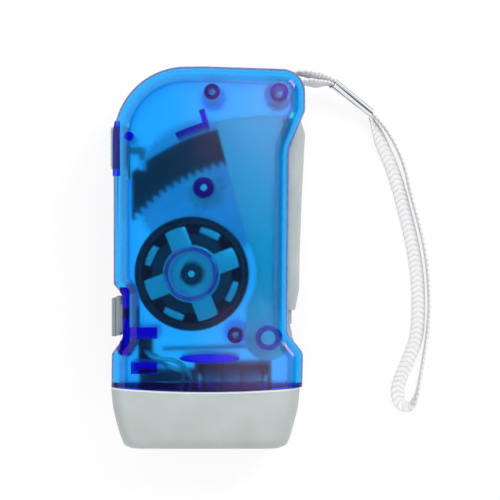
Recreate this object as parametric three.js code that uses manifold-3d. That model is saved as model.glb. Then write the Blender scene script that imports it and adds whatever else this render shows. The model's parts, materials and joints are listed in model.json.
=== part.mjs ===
// Squeeze-lever dynamo torch in a clear case, lying on its flat back.
// Millimetres. The lens looks along -Y, the strap leaves at +Y, and +Z points out of the front face.
import * as THREE from 'three';
import { mergeVertices } from 'three/addons/utils/BufferGeometryUtils.js';
import Module from 'manifold-3d';

const wasm = await Module();
wasm.setup();

// Case
const caseLength = 105.6;
const caseWidth = 54;
const caseThickness = 34;
const wall = 2;
const edgeRound = 4;
const bezelLength = 17.4;
const seatGap = 0.1;
const fitGap = 0.3;
const runGap = 0.5;
const overrun = 3;

// Lever and its pivot
const pivotFromSide = 10;
const pivotShare = 0.2916667;
const reachPerWidth = 1.14631;
const reachPerLength = 0.58618;
const leverReach = Math.min(caseWidth * reachPerWidth, caseLength * reachPerLength);
const leverPlate = 2;
const leverPocket = 8.8;
const handleDepth = 16;
const handleWall = 2.2;
const handleRound = 2.5;
const hubRadius = 6.6;
const trunnionRadius = 1.95;
const pivotBossRadius = 3.45;
const flywheelClearance = 2.1;

// Toothed parts
const pressureAngle = THREE.MathUtils.degToRad(20);
const rackModule = 0.75;
const rackTeethPerReach = 1.0824;
const rackTeeth = 2 * Math.round(leverReach * rackTeethPerReach);
const pinionTeeth = 14;
const wheelModule = 0.6;
const wheelTeethPerReach = 1.0662;
const wheelTeeth = Math.round(leverReach * wheelTeethPerReach);
const spinTeeth = 14;
const rackThickness = 3.8;
const rackDepth = 9.75;
const wheelThickness = 2.5;
const backlash = 0.16;
const rackMeshAngle = THREE.MathUtils.degToRad(113.2);
const trainAngle = THREE.MathUtils.degToRad(261.8);
const shaftRadius = 0.95;
const shaftBossRadius = 2.9;

// Dynamo
const flywheelPerReach = 0.25687;
const flywheelRadius = leverReach * flywheelPerReach;
const cupWall = 0.9;
const cupFloor = 1.6;
const magnetWall = 1;
const airGap = 0.6;
const statorSheet = 1;
const clawThickness = 2;
const statorArmWidth = 5.8;
const bushRadius = 2.6;
const collarRadius = 7.45;
const collarWall = 1.25;

// Fasteners
const screwShank = 0.9;
const screwHead = 2.2;
const screwLength = 21;
const screwBossRadius = 2.2;
const strapPostRadius = 2.6;

// Head
const lensWidth = 35.4;
const lensHeightShare = 0.5706;
const lensHeight = caseThickness * lensHeightShare;
const lensThickness = 1.5;
const lensCorner = 6;
const reflectorDepth = 6;
const cupRadius = 5.4;
const lampRadius = 2.5;
const lampHeight = 5.6;
const boardThickness = 1.5;
const cellDiameter = 11.6;
const cellThickness = 5.4;
const cellCount = 3;

// Sliders
const lockLength = 11.9;
const lockDepth = 10;
const lockTravel = 2.5;
const knobLength = 11;
const knobDepth = 9;
const knobTravel = 1.5;
const gripPitch = 1.5;
const gripDepth = 0.45;

// Strap and wires
const strapWidth = 3.5;
const strapThickness = 1;
const crimpWall = 0.35;
const springWire = 1.1;
const springTurns = 3.25;
const springPitch = 1.75;
const springRadius = 2.9;
const leadWire = 1.2;

// Levels that follow from the sizes above
const halfWidth = caseWidth / 2;
const halfLength = caseLength / 2;
const middle = caseThickness / 2;
const frontInside = caseThickness - wall;
const jointY = -halfLength + bezelLength;
const pivot = new THREE.Vector2(halfWidth - pivotFromSide, caseLength * pivotShare - halfLength);
const plateBackTop = middle - leverPocket / 2;
const plateBackBottom = plateBackTop - leverPlate;
const plateFrontBottom = middle + leverPocket / 2;
const plateFrontTop = plateFrontBottom + leverPlate;
const rackBottom = plateBackTop + seatGap;
const rackTop = rackBottom + rackThickness;
const wheelTop = plateBackBottom - runGap;
const wheelBottom = wheelTop - wheelThickness;
const pinionTop = rackTop + runGap;
const cupBottom = plateBackBottom + runGap;
const statorFrontTop = frontInside - wall * 2;

// Gears: an internal toothed sector on the lever, a pinion and a wheel on one shaft, a pinion on the flywheel
const rackPitchRadius = (rackModule * rackTeeth) / 2;
const pinionPitchRadius = (rackModule * pinionTeeth) / 2;
const wheelPitchRadius = (wheelModule * wheelTeeth) / 2;
const spinPitchRadius = (wheelModule * spinTeeth) / 2;
const gearCentre = polar(pivot, rackPitchRadius - pinionPitchRadius, rackMeshAngle);
const flywheelCentre = polar(gearCentre, wheelPitchRadius + spinPitchRadius, trainAngle);

// Finishes
const finishes = {
  clearBlue: { color: 0x1e8ff0, roughness: 0.2, metalness: 0, transparent: true, opacity: 0.5 },
  clearLens: { color: 0xe8f2f6, roughness: 0.08, metalness: 0, transparent: true, opacity: 0.4 },
  greyPlastic: { color: 0xb9bfc4, roughness: 0.45, metalness: 0 },
  blackPlastic: { color: 0x1a1c20, roughness: 0.5, metalness: 0 },
  whitePlastic: { color: 0xe6e6e0, roughness: 0.45, metalness: 0 },
  steel: { color: 0xb8bcc0, roughness: 0.3, metalness: 1 },
  darkSteel: { color: 0x3a3f48, roughness: 0.4, metalness: 1 },
  magnet: { color: 0x2a2c30, roughness: 0.6, metalness: 0.3 },
  copper: { color: 0xb4623a, roughness: 0.35, metalness: 1 },
  mirror: { color: 0xdfe2e4, roughness: 0.08, metalness: 1 },
  board: { color: 0x2f6b46, roughness: 0.5, metalness: 0 },
  tape: { color: 0xe9e7ea, roughness: 0.85, metalness: 0 },
  wireSleeve: { color: 0xbfe3ea, roughness: 0.45, metalness: 0 },
};

const torch = new THREE.Group();

// Adds one finished solid to the torch under its own name.
function addPiece(name, solid, finish) {
  const mesh = new THREE.Mesh(geometryOf(solid), new THREE.MeshStandardMaterial(finishes[finish]));
  mesh.name = name;
  torch.add(mesh);
}

// A closed geometry as a solid that can be joined and cut.
function solidOf(geometry) {
  const bare = geometry.clone();
  bare.deleteAttribute('normal');
  bare.deleteAttribute('uv');
  const merged = mergeVertices(bare);
  const vertProperties = new Float32Array(merged.attributes.position.array);
  const triVerts = new Uint32Array(merged.index.array);
  return new wasm.Manifold(new wasm.Mesh({ numProp: 3, vertProperties, triVerts }));
}

function geometryOf(solid) {
  const mesh = solid.getMesh();
  const geometry = new THREE.BufferGeometry();
  geometry.setAttribute('position', new THREE.BufferAttribute(new Float32Array(mesh.vertProperties), 3));
  geometry.setIndex(new THREE.BufferAttribute(new Uint32Array(mesh.triVerts), 1));
  geometry.computeVertexNormals();
  return geometry;
}

function join(...solids) {
  return solids.reduce((whole, next) => whole.add(next));
}

function cut(solid, ...tools) {
  return tools.reduce((rest, tool) => rest.subtract(tool), solid);
}

function polar(centre, radius, angle) {
  return new THREE.Vector2(centre.x + radius * Math.cos(angle), centre.y + radius * Math.sin(angle));
}

// An upright round bar between two heights.
function bar(centre, radius, bottom, top, sides = 20) {
  const geometry = new THREE.CylinderGeometry(radius, radius, top - bottom, sides);
  geometry.rotateX(Math.PI / 2);
  geometry.translate(centre.x, centre.y, (top + bottom) / 2);
  return solidOf(geometry);
}

function tube(centre, outer, inner, bottom, top, sides = 20) {
  const bore = bar(centre, inner, bottom - overrun, top + overrun, sides);
  return cut(bar(centre, outer, bottom, top, sides), bore);
}

// A box from its lowest to its highest corner.
function block(low, high) {
  const size = high.map((value, axis) => value - low[axis]);
  const geometry = new THREE.BoxGeometry(...size);
  geometry.translate(...low.map((value, axis) => value + size[axis] / 2));
  return solidOf(geometry);
}

// An outline raised from one height to another.
function raise(shape, bottom, top, curveSegments = 6) {
  const depth = top - bottom;
  const geometry = new THREE.ExtrudeGeometry(shape, { depth, bevelEnabled: false, curveSegments });
  geometry.translate(0, 0, bottom);
  return solidOf(geometry);
}

// A profile of radius and height turned about an upright axis.
function revolve(profile, centre, sides = 24) {
  const points = profile.map(([radius, height]) => new THREE.Vector2(radius, height));
  const geometry = new THREE.LatheGeometry(points, sides);
  geometry.rotateX(Math.PI / 2);
  geometry.translate(centre.x, centre.y, 0);
  return solidOf(geometry);
}

// The closed ring of a cornered outline, moved inwards by inset, with each corner [x, y, radius] rounded.
// Corners that turn outwards lose radius as the ring shrinks, and corners that turn inwards gain it.
function cornerRing(corners, inset = 0) {
  const leastRadius = seatGap * 2;
  const arcFineness = 2.2;
  const fewestSteps = 2;
  const count = corners.length;
  const at = corners.map(([x, y]) => new THREE.Vector2(x, y));
  const along = at.map((point, i) => at[(i + 1) % count].clone().sub(point).normalize());
  const ring = [];
  corners.forEach(([, , radius], i) => {
    const before = along[(i + count - 1) % count];
    const after = along[i];
    const turn = Math.atan2(before.cross(after), before.dot(after));
    const inward = new THREE.Vector2(-before.y - after.y, before.x + after.x).normalize();
    const corner = at[i].clone().addScaledVector(inward, inset / Math.cos(turn / 2));
    if (radius === 0) {
      ring.push(corner);
      return;
    }
    const side = Math.sign(turn);
    const arc = Math.max(leastRadius, radius - side * inset);
    const centre = corner.clone().addScaledVector(inward, (side * arc) / Math.cos(turn / 2));
    const steps = Math.max(fewestSteps, Math.round(Math.abs(turn) * Math.sqrt(radius / wall) * arcFineness));
    const first = Math.atan2(-before.x * side, before.y * side);
    for (let k = 0; k <= steps; k += 1) {
      ring.push(polar(centre, arc, first + (turn * k) / steps));
    }
  });
  return ring;
}

// Rings of equal point count, each at its own height, joined into one closed skin.
function loft(rings) {
  const count = rings[0].ring.length;
  const positions = [];
  const index = [];
  rings.forEach(({ ring, height }) => ring.forEach((point) => positions.push(point.x, point.y, height)));
  for (let level = 0; level + 1 < rings.length; level += 1) {
    for (let i = 0; i < count; i += 1) {
      const low = level * count + i;
      const next = level * count + ((i + 1) % count);
      index.push(low, next, next + count);
      index.push(low, next + count, low + count);
    }
  }
  const lastStart = (rings.length - 1) * count;
  THREE.ShapeUtils.triangulateShape(rings[0].ring, []).forEach(([a, b, c]) => index.push(a, c, b));
  THREE.ShapeUtils.triangulateShape(rings[rings.length - 1].ring, []).forEach(([a, b, c]) => {
    index.push(a + lastStart, b + lastStart, c + lastStart);
  });
  const geometry = new THREE.BufferGeometry();
  geometry.setAttribute('position', new THREE.Float32BufferAttribute(positions, 3));
  geometry.setIndex(index);
  return geometry;
}

// A slab of a cornered outline whose top and bottom edges are rounded.
function pillow(corners, inset, bottom, top, round, steps = 4) {
  const rings = [];
  for (let k = 0; k <= steps; k += 1) {
    const angle = (k / steps) * (Math.PI / 2);
    const ring = cornerRing(corners, inset + round * (1 - Math.sin(angle)));
    rings.push({ ring, height: bottom + round * (1 - Math.cos(angle)) });
  }
  const upper = rings.map(({ ring, height }) => ({ ring, height: top - (height - bottom) })).reverse();
  return solidOf(loft([...rings, ...upper]));
}

// Outline of the case seen from the front, as shares of its half width and half length; the head end runs
// on under the bezel and is trimmed there. The third share is the corner's radius over the half width.
const caseOutlineShares = [
  [-0.978, -0.86, 0],
  [0.97, -0.86, 0],
  [0.989, -0.494, 0.11],
  [0.83, -0.394, 0.12],
  [0.846, 0.566, 0.3],
  [1.01, 0.77, 0.11],
  [1.008, 0.985, 0.24],
  [0, 1.002, 0.9],
  [-0.951, 1.0, 0.74],
  [-0.951, -0.138, 0.055],
  [-0.852, -0.193, 0.07],
  [-0.85, -0.415, 0.07],
  [-0.97, -0.5, 0.07],
];
const caseCorners = caseOutlineShares.map(([x, y, r]) => [x * halfWidth, y * halfLength, r * halfWidth]);
const leftWallX = caseOutlineShares[8][0] * halfWidth;
const recessX = caseOutlineShares[10][0] * halfWidth;

// Places of the screws and pegs, as shares of the half width and half length
const screwShares = [
  [0.058, 0.866],
  [0.741, 0.862],
  [0.296, -0.402],
];
const screws = screwShares.map(([x, y]) => new THREE.Vector2(x * halfWidth, y * halfLength));
const strapPost = screws[1];
const pegShares = [-0.787, 0.634];
const peg = new THREE.Vector2(pegShares[0] * halfWidth, pegShares[1] * halfLength);
const pegRadius = 1.25;

// Gears

function involute(angle) {
  return Math.tan(angle) - angle;
}

// Half the angle that a tooth fills at a radius; below the base circle its flanks run straight to the centre.
function toothHalfAngle(teeth, pitchRadius, radius, thicken) {
  const base = pitchRadius * Math.cos(pressureAngle);
  const slope = Math.acos(Math.min(1, base / Math.max(radius, base)));
  const atPitch = Math.PI / (2 * teeth) + thicken / (2 * pitchRadius);
  return atPitch + involute(pressureAngle) - involute(slope);
}

// The edge of teeth first to last, each centred at phase plus a whole number of pitches.
function toothedEdge({ teeth, pitchRadius, tip, root, thicken, phase, first, last }) {
  const points = [];
  const radii = [root, pitchRadius, tip];
  for (let k = first; k <= last; k += 1) {
    const centre = phase + (k * 2 * Math.PI) / teeth;
    radii.forEach((radius) => {
      points.push([radius, centre - toothHalfAngle(teeth, pitchRadius, radius, thicken)]);
    });
    [...radii].reverse().forEach((radius) => {
      points.push([radius, centre + toothHalfAngle(teeth, pitchRadius, radius, thicken)]);
    });
  }
  return points;
}

const addendumShare = 0.85;
const dedendumShare = 1.15;

function gearShape(centre, teeth, gearModule, phase, boreRadius) {
  const pitchRadius = (gearModule * teeth) / 2;
  const edge = toothedEdge({
    teeth,
    pitchRadius,
    tip: pitchRadius + addendumShare * gearModule,
    root: pitchRadius - dedendumShare * gearModule,
    thicken: -backlash,
    phase,
    first: 0,
    last: teeth - 1,
  });
  const shape = new THREE.Shape(edge.map(([radius, angle]) => polar(centre, radius, angle)));
  const bore = new THREE.Path();
  bore.absarc(centre.x, centre.y, boreRadius, 0, 2 * Math.PI);
  shape.holes.push(bore);
  return shape;
}

function buildGears() {
  const bore = shaftRadius + seatGap;
  const wheelHub = shaftBossRadius;
  const lighteningCount = 5;
  const lighteningShare = 0.2;
  const lighteningRingShare = 0.56;
  const wheelShape = gearShape(gearCentre, wheelTeeth, wheelModule, trainAngle, bore);
  const wheel = raise(wheelShape, wheelBottom, wheelTop);
  const windows = Array.from({ length: lighteningCount }, (_, k) => {
    const angle = rackMeshAngle + (k * 2 * Math.PI) / lighteningCount;
    const centre = polar(gearCentre, wheelPitchRadius * lighteningRingShare, angle);
    const radius = wheelPitchRadius * lighteningShare;
    return bar(centre, radius, wheelBottom - overrun, wheelTop + overrun, 12);
  });
  const hub = tube(gearCentre, wheelHub, bore, wheelBottom - runGap + seatGap, wheelTop, 24);
  addPiece('large_gear', cut(join(wheel, hub), ...windows), 'whitePlastic');

  const pinion = gearShape(gearCentre, pinionTeeth, rackModule, rackMeshAngle, bore);
  addPiece('drive_pinion', raise(pinion, wheelTop + seatGap, pinionTop), 'whitePlastic');
  addPiece('gear_shaft', bar(gearCentre, shaftRadius, wall + runGap, frontInside - fitGap, 16), 'steel');

  const spinPhase = trainAngle + Math.PI + Math.PI / spinTeeth;
  const spin = gearShape(flywheelCentre, spinTeeth, wheelModule, spinPhase, bore);
  addPiece('flywheel_pinion', raise(spin, wheelBottom - runGap, wheelTop + runGap), 'whitePlastic');
}

// Lever

// Outline of the lever's side plates: radial left edge, a bay round the flywheel and the round hub.
const leverEdgeAngle = rackMeshAngle - THREE.MathUtils.degToRad(9.5);
const leverTopAngle = THREE.MathUtils.degToRad(86);
const neckRound = hubRadius + seatGap * 2;
const neckThickness = 1.4;
const neckLeftShare = 0.64;
const neckRiseShare = 0.78;
const neckRiseStart = 0.55;

function leverPlateShape() {
  const bayAngle = THREE.MathUtils.degToRad(33);
  const hubStart = THREE.MathUtils.degToRad(155);
  const hubEnd = THREE.MathUtils.degToRad(365);
  const handleIn = handleCorners()[0];
  const shape = new THREE.Shape();
  shape.absarc(pivot.x, pivot.y, leverReach, leverTopAngle, leverEdgeAngle, false);
  const bay = flywheelRadius + flywheelClearance;
  shape.absarc(flywheelCentre.x, flywheelCentre.y, bay, bayAngle, -bayAngle, true);
  shape.absarc(pivot.x, pivot.y, hubRadius, hubStart, hubEnd, false);
  shape.lineTo(handleIn[0] + handleWall, handleIn[1]);
  shape.lineTo(handleIn[0] + handleWall, pivot.y + leverReach * Math.sin(leverTopAngle));
  return shape;
}

// Corners of the handle seen from the front, as shares of its length and of its width
function handleCorners() {
  const handleLeft = caseOutlineShares[3][0] * halfWidth - wall;
  const handleSpan = 7;
  const handleShares = [
    [0, 0.121, 0.15],
    [0.46, 0.121, 0.25],
    [0.76, 0.214, 0.5],
    [0.78, 0.36, 0.9],
    [0.86, 0.62, 0.9],
    [1.0, 0.915, 0.5],
    [0.84, 0.974, 0.35],
    [0, 0.997, 0.15],
  ];
  return handleShares.map(([x, y, r]) => [
    handleLeft + x * handleSpan,
    pivot.y + y * leverReach,
    r * handleRound,
  ]);
}

// The handle's outline with its left and lower ends run on, so that only the grip's own edges are rounded
function longHandleCorners() {
  const corners = handleCorners();
  const last = corners.length - 1;
  const longer = handleRound * 2;
  corners[0] = [corners[0][0] - longer, corners[0][1] - longer, corners[0][2]];
  corners[1][1] -= longer;
  corners[last][0] -= longer;
  return corners;
}

function buildLever() {
  const corners = handleCorners();
  const shape = leverPlateShape();
  const backPlate = raise(shape, plateBackBottom, plateBackTop, 10);
  const frontPlate = raise(shape, plateFrontBottom, plateFrontTop, 10);
  const handleBottom = middle - handleDepth / 2;
  const handleTop = middle + handleDepth / 2;
  const grip = pillow(longHandleCorners(), 0, handleBottom, handleTop, handleRound, 3);
  const pocket = raise(
    new THREE.Shape(cornerRing(longHandleCorners(), handleWall)),
    plateBackTop,
    plateFrontBottom,
  );
  const gripSpan = block(
    [corners[0][0], corners[0][1], handleBottom - overrun],
    [corners[0][0] + caseWidth, halfLength, handleTop + overrun],
  );
  const handle = cut(grip.intersect(gripSpan), pocket);
  const neckRing = tube(pivot, neckRound, neckRound - neckThickness, plateBackBottom, plateFrontTop, 32);
  const neckSide = block(
    [pivot.x + hubRadius * neckLeftShare, pivot.y - leverPlate, plateBackBottom],
    [pivot.x + neckRound + overrun, corners[0][1], plateFrontTop],
  );
  const neck = neckRing.intersect(neckSide);
  const neckRise = block(
    [pivot.x + hubRadius * neckRiseShare, pivot.y + hubRadius * neckRiseStart, plateBackBottom],
    [pivot.x + hubRadius, corners[0][1] + leverPlate, plateFrontTop],
  );
  const trunnion = bar(pivot, trunnionRadius, wall + runGap, frontInside - fitGap, 20);
  const pegs = rackPegs().map((centre) => {
    return bar(centre, rackPegRadius, plateBackTop - seatGap, rackTop + seatGap, 12);
  });
  const lever = join(backPlate, frontPlate, handle, neck, neckRise, trunnion, ...pegs);
  addPiece('squeeze_lever', lever, 'greyPlastic');
}

// Toothed sector

const rackPegRadius = 1.5;
const rackOuterRadius = rackPitchRadius + rackDepth;
const rackEndGap = 2.3;
const rackEndX = leftWallX + wall + rackEndGap;
const rackToothAngle = (2 * Math.PI) / rackTeeth;
const rackTailPitches = 7.444;
const rackTailAngle = rackMeshAngle - rackToothAngle * rackTailPitches;
const rackPegDegrees = [2.6, 6.9];

function rackPegs() {
  return rackPegDegrees.map((degrees) => {
    const angle = rackTailAngle + THREE.MathUtils.degToRad(degrees);
    return polar(pivot, (rackPitchRadius + rackOuterRadius) / 2, angle);
  });
}

// The lock's finger and the notch that takes it share one place on the rack's rim.
const fingerWidth = 1.6;
const fingerFromEnd = 2.9;
const fingerX = rackEndX + fingerFromEnd;
const fingerRight = fingerX + fingerWidth / 2 + fitGap;
const rimAtFinger = pivot.y + Math.sqrt(rackOuterRadius ** 2 - (pivot.x - fingerRight) ** 2);
const fingerRestY = rimAtFinger + runGap;

function buildRack() {
  const toothCount = 18;
  const leadingTeeth = 11;
  const rackRootShare = 0.8;
  const tailShare = 2;
  const edge = toothedEdge({
    teeth: rackTeeth,
    pitchRadius: rackPitchRadius,
    tip: rackPitchRadius + rackModule,
    root: rackPitchRadius - rackModule * rackRootShare,
    thicken: backlash,
    phase: rackMeshAngle,
    first: leadingTeeth - toothCount,
    last: leadingTeeth,
  });
  const lastAngle = rackMeshAngle + (leadingTeeth + 1 / 2) * rackToothAngle;
  const tail = rackPitchRadius + rackModule * tailShare;
  const shape = new THREE.Shape();
  const outerStart = polar(pivot, rackOuterRadius, rackTailAngle);
  shape.moveTo(outerStart.x, outerStart.y);
  shape.absarc(pivot.x, pivot.y, rackOuterRadius, rackTailAngle, lastAngle, false);
  [...edge].reverse().forEach(([radius, angle]) => {
    const point = polar(pivot, radius, angle);
    shape.lineTo(point.x, point.y);
  });
  const tailIn = polar(pivot, tail, rackTailAngle);
  shape.lineTo(tailIn.x, tailIn.y);
  const plate = raise(shape, rackBottom, rackTop, 24);
  const beyondEnd = block(
    [rackEndX - caseWidth, pivot.y, rackBottom - overrun],
    [rackEndX, pivot.y + caseLength, rackTop + overrun],
  );
  const notchBottom = fingerRestY - lockTravel - runGap;
  const notch = block(
    [fingerX - fingerWidth / 2 - fitGap, notchBottom, rackBottom - overrun],
    [fingerRight, fingerRestY + overrun, rackTop + overrun],
  );
  const holes = rackPegs().map((centre) => {
    return bar(centre, rackPegRadius + fitGap, rackBottom - overrun, rackTop + overrun, 12);
  });
  addPiece('sector_rack', cut(plate, beyondEnd, notch, ...holes), 'blackPlastic');
}

// Return spring

const springLegLength = 29.8;
const springLegDrop = 0.8;
const springTopLeg = 13;
const springCurlSteps = 8;
const springBottom = plateBackTop + springWire / 2 + fitGap;

// One unbroken wire: a straight leg along the case's rib, the turns round the pivot and a leg up the handle.
class SpringPath extends THREE.Curve {
  getPoint(t) {
    const turned = 2 * Math.PI * springRadius * springTurns;
    const run = t * (springLegLength + turned + springTopLeg);
    const firstAngle = -Math.PI / 2;
    if (run < springLegLength) {
      const left = 1 - run / springLegLength;
      const y = pivot.y - springRadius - springLegDrop * left;
      return new THREE.Vector3(pivot.x - springLegLength * left, y, springBottom);
    }
    const along = Math.min(1, (run - springLegLength) / turned);
    const angle = firstAngle + springTurns * 2 * Math.PI * along;
    const point = polar(pivot, springRadius, angle);
    const beyond = Math.max(0, run - springLegLength - turned);
    point.addScaledVector(new THREE.Vector2(-Math.sin(angle), Math.cos(angle)), beyond);
    return new THREE.Vector3(point.x, point.y, springBottom + springPitch * springTurns * along);
  }
}

function wireAlong(path, radius, steps, sides) {
  const section = new THREE.Shape();
  for (let k = 0; k < sides; k += 1) {
    const point = polar(new THREE.Vector2(), radius, (k * 2 * Math.PI) / sides);
    if (k === 0) section.moveTo(point.x, point.y);
    else section.lineTo(point.x, point.y);
  }
  return solidOf(new THREE.ExtrudeGeometry(section, { extrudePath: path, steps, bevelEnabled: false }));
}

// The least air between two stretches of the wire that are more than half a turn apart
function leastSpringGap(path, count) {
  const points = path.getSpacedPoints(count);
  const half = (path.getLength() / count) ** -1 * Math.PI * springRadius;
  let least = Infinity;
  points.forEach((from, i) => {
    points.slice(i + Math.ceil(half)).forEach((to) => {
      least = Math.min(least, from.distanceTo(to) - springWire);
    });
  });
  return least;
}

function buildSpring() {
  const path = new SpringPath();
  const turnLength = 2 * Math.PI * springRadius;
  const steps = Math.round((path.getLength() / turnLength) * springCurlSteps);
  console.log(`return spring, least gap between turns: ${leastSpringGap(path, steps * 4).toFixed(2)} mm`);
  addPiece('return_spring', wireAlong(path, springWire / 2, steps, 6), 'steel');
}

// Dynamo: cup and ring magnet turn, claw-pole stator and coil stand still inside them

const cupHubRadius = 3;
const cupHubHeight = 4.6;
const magnetInner = flywheelRadius - cupWall - seatGap - magnetWall;
const clawOuter = magnetInner - airGap;
const wideGap = 0.8;
const cupRimTop = statorFrontTop - wideGap;
const cupFloorTop = cupBottom + cupFloor;
const statorBackBottom = cupBottom + cupHubHeight + runGap * 2;
const bushBottom = cupBottom + cupHubHeight + runGap;
const statorHubRadius = 8;
const spoolCore = 4.8;
const statorBore = bushRadius + seatGap;
const armAngle = THREE.MathUtils.degToRad(21);

function buildRotor() {
  const floor = bar(flywheelCentre, flywheelRadius, cupBottom, cupFloorTop, 40);
  const rim = tube(flywheelCentre, flywheelRadius, flywheelRadius - cupWall, cupBottom, cupRimTop, 40);
  const hub = bar(flywheelCentre, cupHubRadius, cupBottom, cupBottom + cupHubHeight, 24);
  const bore = bar(flywheelCentre, shaftRadius + seatGap, cupBottom - overrun, cupRimTop, 16);
  addPiece('flywheel_cup', cut(join(floor, rim, hub), bore), 'darkSteel');
  const magnetOuter = magnetInner + magnetWall;
  const magnetBottom = cupFloorTop + seatGap;
  const magnet = tube(flywheelCentre, magnetOuter, magnetInner, magnetBottom, cupRimTop - seatGap, 40);
  addPiece('ring_magnet', magnet, 'magnet');
  addPiece('rotor_shaft', bar(flywheelCentre, shaftRadius, wall + runGap, frontInside - fitGap, 16), 'steel');
}

// A stator plate: a disc with four arms whose ends fold over as claws.
function statorPlate(firstAngle, plateBottom, clawBottom, clawTop) {
  const plateTop = plateBottom + statorSheet;
  const arms = [0, 1, 2, 3].map((k) => {
    const flat = block(
      [0, -statorArmWidth / 2, plateBottom],
      [clawOuter, statorArmWidth / 2, plateTop],
    );
    const claw = block(
      [clawOuter - clawThickness, -statorArmWidth / 2, clawBottom],
      [clawOuter, statorArmWidth / 2, clawTop],
    );
    const turned = join(flat, claw).rotate([0, 0, THREE.MathUtils.radToDeg(firstAngle) + k * 90]);
    return turned.translate([flywheelCentre.x, flywheelCentre.y, 0]);
  });
  const plate = join(bar(flywheelCentre, statorHubRadius, plateBottom, plateTop, 32), ...arms);
  const round = bar(flywheelCentre, clawOuter, statorBackBottom - overrun, frontInside, 40);
  const bore = bar(flywheelCentre, statorBore, statorBackBottom - overrun, frontInside, 24);
  return cut(plate, bore).intersect(round);
}

function buildStator() {
  const frontBottom = statorFrontTop - statorSheet;
  const backTop = statorBackBottom + statorSheet;
  const front = statorPlate(armAngle, frontBottom, backTop + runGap, statorFrontTop);
  addPiece('stator_front_plate', front, 'steel');
  const back = statorPlate(armAngle + Math.PI / 4, statorBackBottom, statorBackBottom, frontBottom - runGap);
  addPiece('stator_back_plate', back, 'steel');

  const spoolRadius = clawOuter - clawThickness - fitGap;
  const flange = statorSheet;
  const low = backTop + seatGap;
  const high = frontBottom - seatGap;
  const spool = revolve([
    [statorBore, low],
    [spoolRadius, low],
    [spoolRadius, low + flange],
    [spoolCore, low + flange],
    [spoolCore, high - flange],
    [spoolRadius, high - flange],
    [spoolRadius, high],
    [statorBore, high],
    [statorBore, low],
  ], flywheelCentre, 32);
  addPiece('coil_bobbin', spool, 'blackPlastic');
  const winding = tube(
    flywheelCentre,
    spoolRadius - flange / 2,
    spoolCore + seatGap,
    low + flange + seatGap,
    high - flange - seatGap,
    32,
  );
  addPiece('coil_winding', winding, 'copper');
  const bush = tube(flywheelCentre, bushRadius, shaftRadius + seatGap, bushBottom, frontInside - seatGap, 24);
  addPiece('front_bush', bush, 'blackPlastic');
}

// Case shells

const lockShares = [-0.951, 0.582];
const lockY = lockShares[1] * halfLength;
const knobShare = -0.307;
const knobY = knobShare * halfLength;
const lockMargin = 1.9;
const recessInner = recessX + wall;
const switchWidth = 3.9;
const switchLength = 6;
const switchHeight = 7;
const switchFromWall = 1.7;
const switchLeft = recessInner + switchFromWall;
const switchBelowKnob = 6.16;
const switchTop = knobY - switchBelowKnob;
const switchRib = 3.2;
const switchRibLength = 7.2;
const strapSlotFirst = THREE.MathUtils.degToRad(-20);
const strapSlotLast = THREE.MathUtils.degToRad(88);
const strapSlotInner = 3.9;
const counterboreRadius = screwHead + fitGap;
const screwSeat = 4;

function caseBody(inset) {
  const steps = inset === 0 ? 3 : 2;
  return pillow(caseCorners, inset, inset, caseThickness - inset, edgeRound - inset, steps);
}

// The window that the lever swings out through, clear of its rim, hub and handle
function leverWindow() {
  const low = middle - handleDepth / 2 - runGap;
  const high = middle + handleDepth / 2 + runGap;
  const reach = bar(pivot, leverReach + wideGap, low, high, 72);
  const side = block(
    [handleCorners()[0][0] - runGap * 2, pivot.y, low],
    [halfWidth + overrun, halfLength, high],
  );
  return join(reach.intersect(side), bar(pivot, hubRadius + wideGap, low, high, 40));
}

// The slot in the corner that lets both strands of the strap out from round their post
function strapWindow() {
  const half = strapWidth / 2 + wideGap;
  const outer = strapPostRadius + overrun * 4;
  const shape = new THREE.Shape();
  shape.absarc(strapPost.x, strapPost.y, outer, strapSlotFirst, strapSlotLast, false);
  shape.absarc(strapPost.x, strapPost.y, strapSlotInner, strapSlotLast, strapSlotFirst, true);
  return raise(shape, middle - half, middle + half);
}

function sliderWindows() {
  const lockHalf = lockDepth / 2 + fitGap;
  const lockWindow = block(
    [leftWallX - overrun, lockY - lockLength / 2 - lockTravel - fitGap, middle - lockHalf],
    [leftWallX + wall + runGap, lockY + lockLength / 2 + lockMargin, middle + lockHalf],
  );
  const tongueHalf = knobTongue / 2 + fitGap;
  const knobWindow = block(
    [recessX - overrun, knobTongueY - tongueHalf, middle - tongueHalf],
    [recessInner + wall / 2, knobTongueY + tongueHalf + knobTravel, middle + tongueHalf],
  );
  return [lockWindow, knobWindow];
}
const knobTongue = 3;
const knobTongueY = knobY + knobTongue / 4;

// Square-edged cheeks of solid wall beside the lock and across the knob's recess
const cheekRise = 0.4;
const lockCheek = [22.5, 37.6];
const recessCheek = [-26.8, -8];

function wallCheeks() {
  const prism = raise(new THREE.Shape(cornerRing(caseCorners)), cheekRise, caseThickness - cheekRise);
  const outside = leftWallX - overrun;
  const beside = block([outside, lockCheek[0], 0], [leftWallX + wall, lockCheek[1], caseThickness]);
  const across = block([outside, recessCheek[0], 0], [recessInner, recessCheek[1], caseThickness]);
  return prism.intersect(join(beside, across));
}

function shellHalf(low, high) {
  const hollow = join(cut(caseBody(0), caseBody(wall)), wallCheeks());
  const half = block([-caseWidth, jointY, low], [caseWidth, caseLength, high]);
  return cut(hollow.intersect(half), leverWindow(), strapWindow(), ...sliderWindows());
}

function switchRibs(bottom, top) {
  const left = recessInner + fitGap;
  const right = left + switchRibLength;
  const upper = block([left, switchTop + fitGap / 2, bottom], [right, switchTop + switchRib, top]);
  const below = switchTop - switchLength - fitGap;
  const lower = block([left, below - switchRib, bottom], [right, below, top]);
  return [upper, lower];
}

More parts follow.
